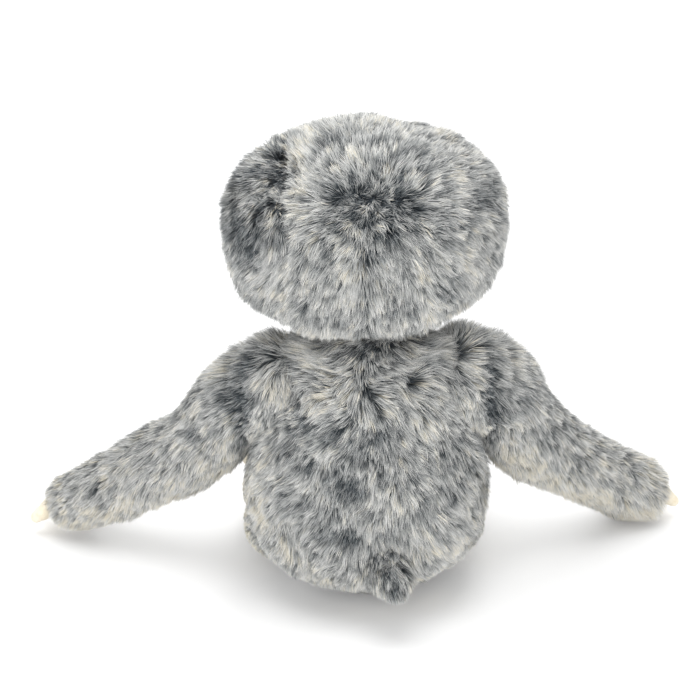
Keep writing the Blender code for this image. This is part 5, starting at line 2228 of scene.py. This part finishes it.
@dataclass
class Tail:
    """The tail nub and its fringe."""

    inset: float = 0.0045
    hidden: float = 0.0030
    pile_length: float = 0.74
    form: LimbForm = field(default_factory=tail_form)
    spots: tuple[Spot, ...] = spots_of(
        (-5, 66, 44, 5, 0.50), (-8, 72, 37, 5, 0.45), (-10, 73, 29, 5, 0.25),
        (-17, 66, 33, 5, -0.35), (4, 66, 28, 6, -0.40))

    def comb(self, places: Array, normals: Array) -> Reading:
        """The tail's field: towards its tip and down.

        Args:
            places: Rows of points on the backing.
            normals: The backing's normals there.

        Returns:
            What the coat's field gives there.
        """
        heading = self.form.nearest(places)[1]
        swirl = drift(places, 0.008, 141)
        top = np.clip(normals[:, 2:], 0.0, 1.0)
        flow = (0.15 + 1.1 * top) * heading + 0.16 * swirl
        flow += np.array((-0.30, 0.0, -1.0)) * (1.0 - 0.85 * top)
        count = len(places)
        tone = 0.28 + 0.20 * cloudiness(places, 0.005, 144) + 0.16 * cloudiness(places, 0.0022, 145)
        tone = tone + spotted(places, self.spots, 1.6)
        lift = 0.34 + 0.14 * cloudiness(places, 0.006, 147)
        under = np.clip(-normals[:, 2], 0.0, 1.0)
        return flow, lift, self.pile_length * (1.0 - 0.50 * under), tone, np.zeros(count)

    def build(self) -> None:
        """Builds the backing and its fur."""
        across = unit(np.cross(np.array(self.form.outward), UP))
        backing = lofted("tail_backing", self.form.rings(self.inset), 32, across)
        finish_mesh(backing, "fur_backing")
        coat = Coat("tail_pile", "tail", Pile.GREY_FUR, self.comb, seed=41)
        coat.grow(backing, lambda places: ~TORSO.holds(places, self.hidden))
        fit(backing, "tail", "tail")


# Inner pieces and studio


@dataclass
class InnerPieces:
    """The CAD pieces that stay as they are, inside the covers."""

    nodes: dict[str, Thing]

    def dress(self) -> None:
        """Gives each CAD node the finish of its own slot."""
        for node in self.nodes.values():
            worn = node.data.materials
            for index, held in enumerate(list(worn)):
                worn[index] = FINISHES[held.name.split(".")[0]]
        LOG.info("%d CAD nodes dressed", len(self.nodes))


@dataclass(frozen=True)
class Lamp:
    """A round soft lamp."""

    place: Place
    size: float
    power: float

    def hang(self, target: Place) -> None:
        """Hangs the lamp, turned to its target.

        Args:
            target: Where it shines.
        """
        clear_choice()
        bpy.ops.object.light_add(type="AREA", location=self.place)
        lamp = bpy.context.object
        lamp.data.shape = "DISK"
        lamp.data.size = self.size
        lamp.data.energy = self.power
        aim = Vector(target) - lamp.location
        lamp.rotation_euler = aim.to_track_quat("-Z", "Y").to_euler()


@dataclass
class Studio:
    """The pale floor, the soft lamps and the camera at the photograph's angle."""

    azimuth: float = math.radians(177.06)
    elevation: float = math.radians(20)
    distance: float = 1.4
    target: Place = (0.00936, 0.0, 0.13253)
    lens: float = 143.11
    sensor: float = 36.0
    lit: Place = (0.0, 0.0, 0.12)
    softbox: Lamp = Lamp((0.08, 0.22, 1.30), 1.1, 7.0)
    fill: Lamp = Lamp((0.30, 1.55, 0.62), 0.9, 9.5)
    front: Lamp = Lamp((-0.35, -1.50, 0.70), 0.9, 10.0)
    sky: float = 0.82
    floor_size: float = 24.0
    floor_tone: float = 0.93
    floor_glow: float = 0.10

    def build(self) -> None:
        """Builds the camera, the lamps and the floor."""
        self.camera()
        self.floor()
        self.lamps()
        bpy.context.scene.view_settings.view_transform = "Standard"
        LOG.info("studio")

    def camera(self) -> None:
        """Places the camera."""
        heading = Vector((math.sin(self.azimuth) * math.cos(self.elevation),
                          -math.cos(self.azimuth) * math.cos(self.elevation),
                          math.sin(self.elevation)))
        clear_choice()
        bpy.ops.object.camera_add(location=Vector(self.target) + heading * self.distance)
        camera = bpy.context.object
        camera.name = "camera"
        camera.rotation_euler = heading.to_track_quat("Z", "Y").to_euler()
        camera.data.lens = self.lens
        camera.data.sensor_width = self.sensor
        bpy.context.scene.camera = camera

    def floor(self) -> None:
        """Lays the floor, white to the camera away from the shadow."""
        clear_choice()
        bpy.ops.mesh.primitive_plane_add(size=self.floor_size, location=(0.0, 0.0, 0.0))
        floor = bpy.context.object
        floor.name = "floor"
        nodes = Nodes("pale_floor")
        nodes.shader.inputs["Base Color"].default_value = (self.floor_tone,) * 3 + (1.0,)
        nodes.shader.inputs["Roughness"].default_value = 0.95
        nodes.shader.inputs["Specular IOR Level"].default_value = 0.0
        path = nodes.add("ShaderNodeLightPath")
        glow = nodes.add("ShaderNodeMath", operation="MULTIPLY")
        glow.inputs[1].default_value = self.floor_glow
        nodes.join(path.outputs["Is Camera Ray"], glow.inputs[0])
        nodes.shader.inputs["Emission Color"].default_value = WHITE
        nodes.join(glow.outputs["Value"], nodes.shader.inputs["Emission Strength"])
        floor.data.materials.append(nodes.material)

    def lamps(self) -> None:
        """Lights the sloth from a wide softbox above and an even sky."""
        for lamp in (self.softbox, self.fill, self.front):
            lamp.hang(self.lit)
        world = bpy.data.worlds.new("studio_sky")
        world.use_nodes = True
        tree = world.node_tree
        sky, seen = tree.nodes["Background"], tree.nodes.new("ShaderNodeBackground")
        for light, strength in ((sky, self.sky), (seen, 1.0)):
            light.inputs["Color"].default_value = WHITE
            light.inputs["Strength"].default_value = strength
        path = tree.nodes.new("ShaderNodeLightPath")
        pick = tree.nodes.new("ShaderNodeMixShader")
        tree.links.new(path.outputs["Is Camera Ray"], pick.inputs["Fac"])
        tree.links.new(sky.outputs["Background"], pick.inputs[1])
        tree.links.new(seen.outputs["Background"], pick.inputs[2])
        tree.links.new(pick.outputs["Shader"], tree.nodes["World Output"].inputs["Surface"])
        bpy.context.scene.world = world


def main() -> None:
    """Builds the plush, piece by piece."""
    logging.basicConfig(level=logging.INFO, format="%(name)s: %(message)s")
    Studio().build()
    InnerPieces(frame["nodes"]).dress()
    Torso().build()
    Head().build()
    Face().build()
    for number, side in enumerate(Side):
        word, seed = side.word, 100 + 20 * number
        Limb(f"{word}_arm", arm_form(side), f"{word}_hand_claw", HAND_CLAW_PITCH, seed,
             **ARM_LOOKS[side]).build()
        RootPatch(f"{word}_shoulder_patch", f"{word}_arm", arm_form(side).root,
                  (-float(side.value), 0.0, 0.0), 130 + side.value).build()
        Limb(f"{word}_leg", leg_form(side), f"{word}_foot_claw", FOOT_CLAW_PITCH, seed + 10,
             lift=0.85, pile_length=0.80).build()
    Tail().build()


if __name__ == "__main__":
    main()
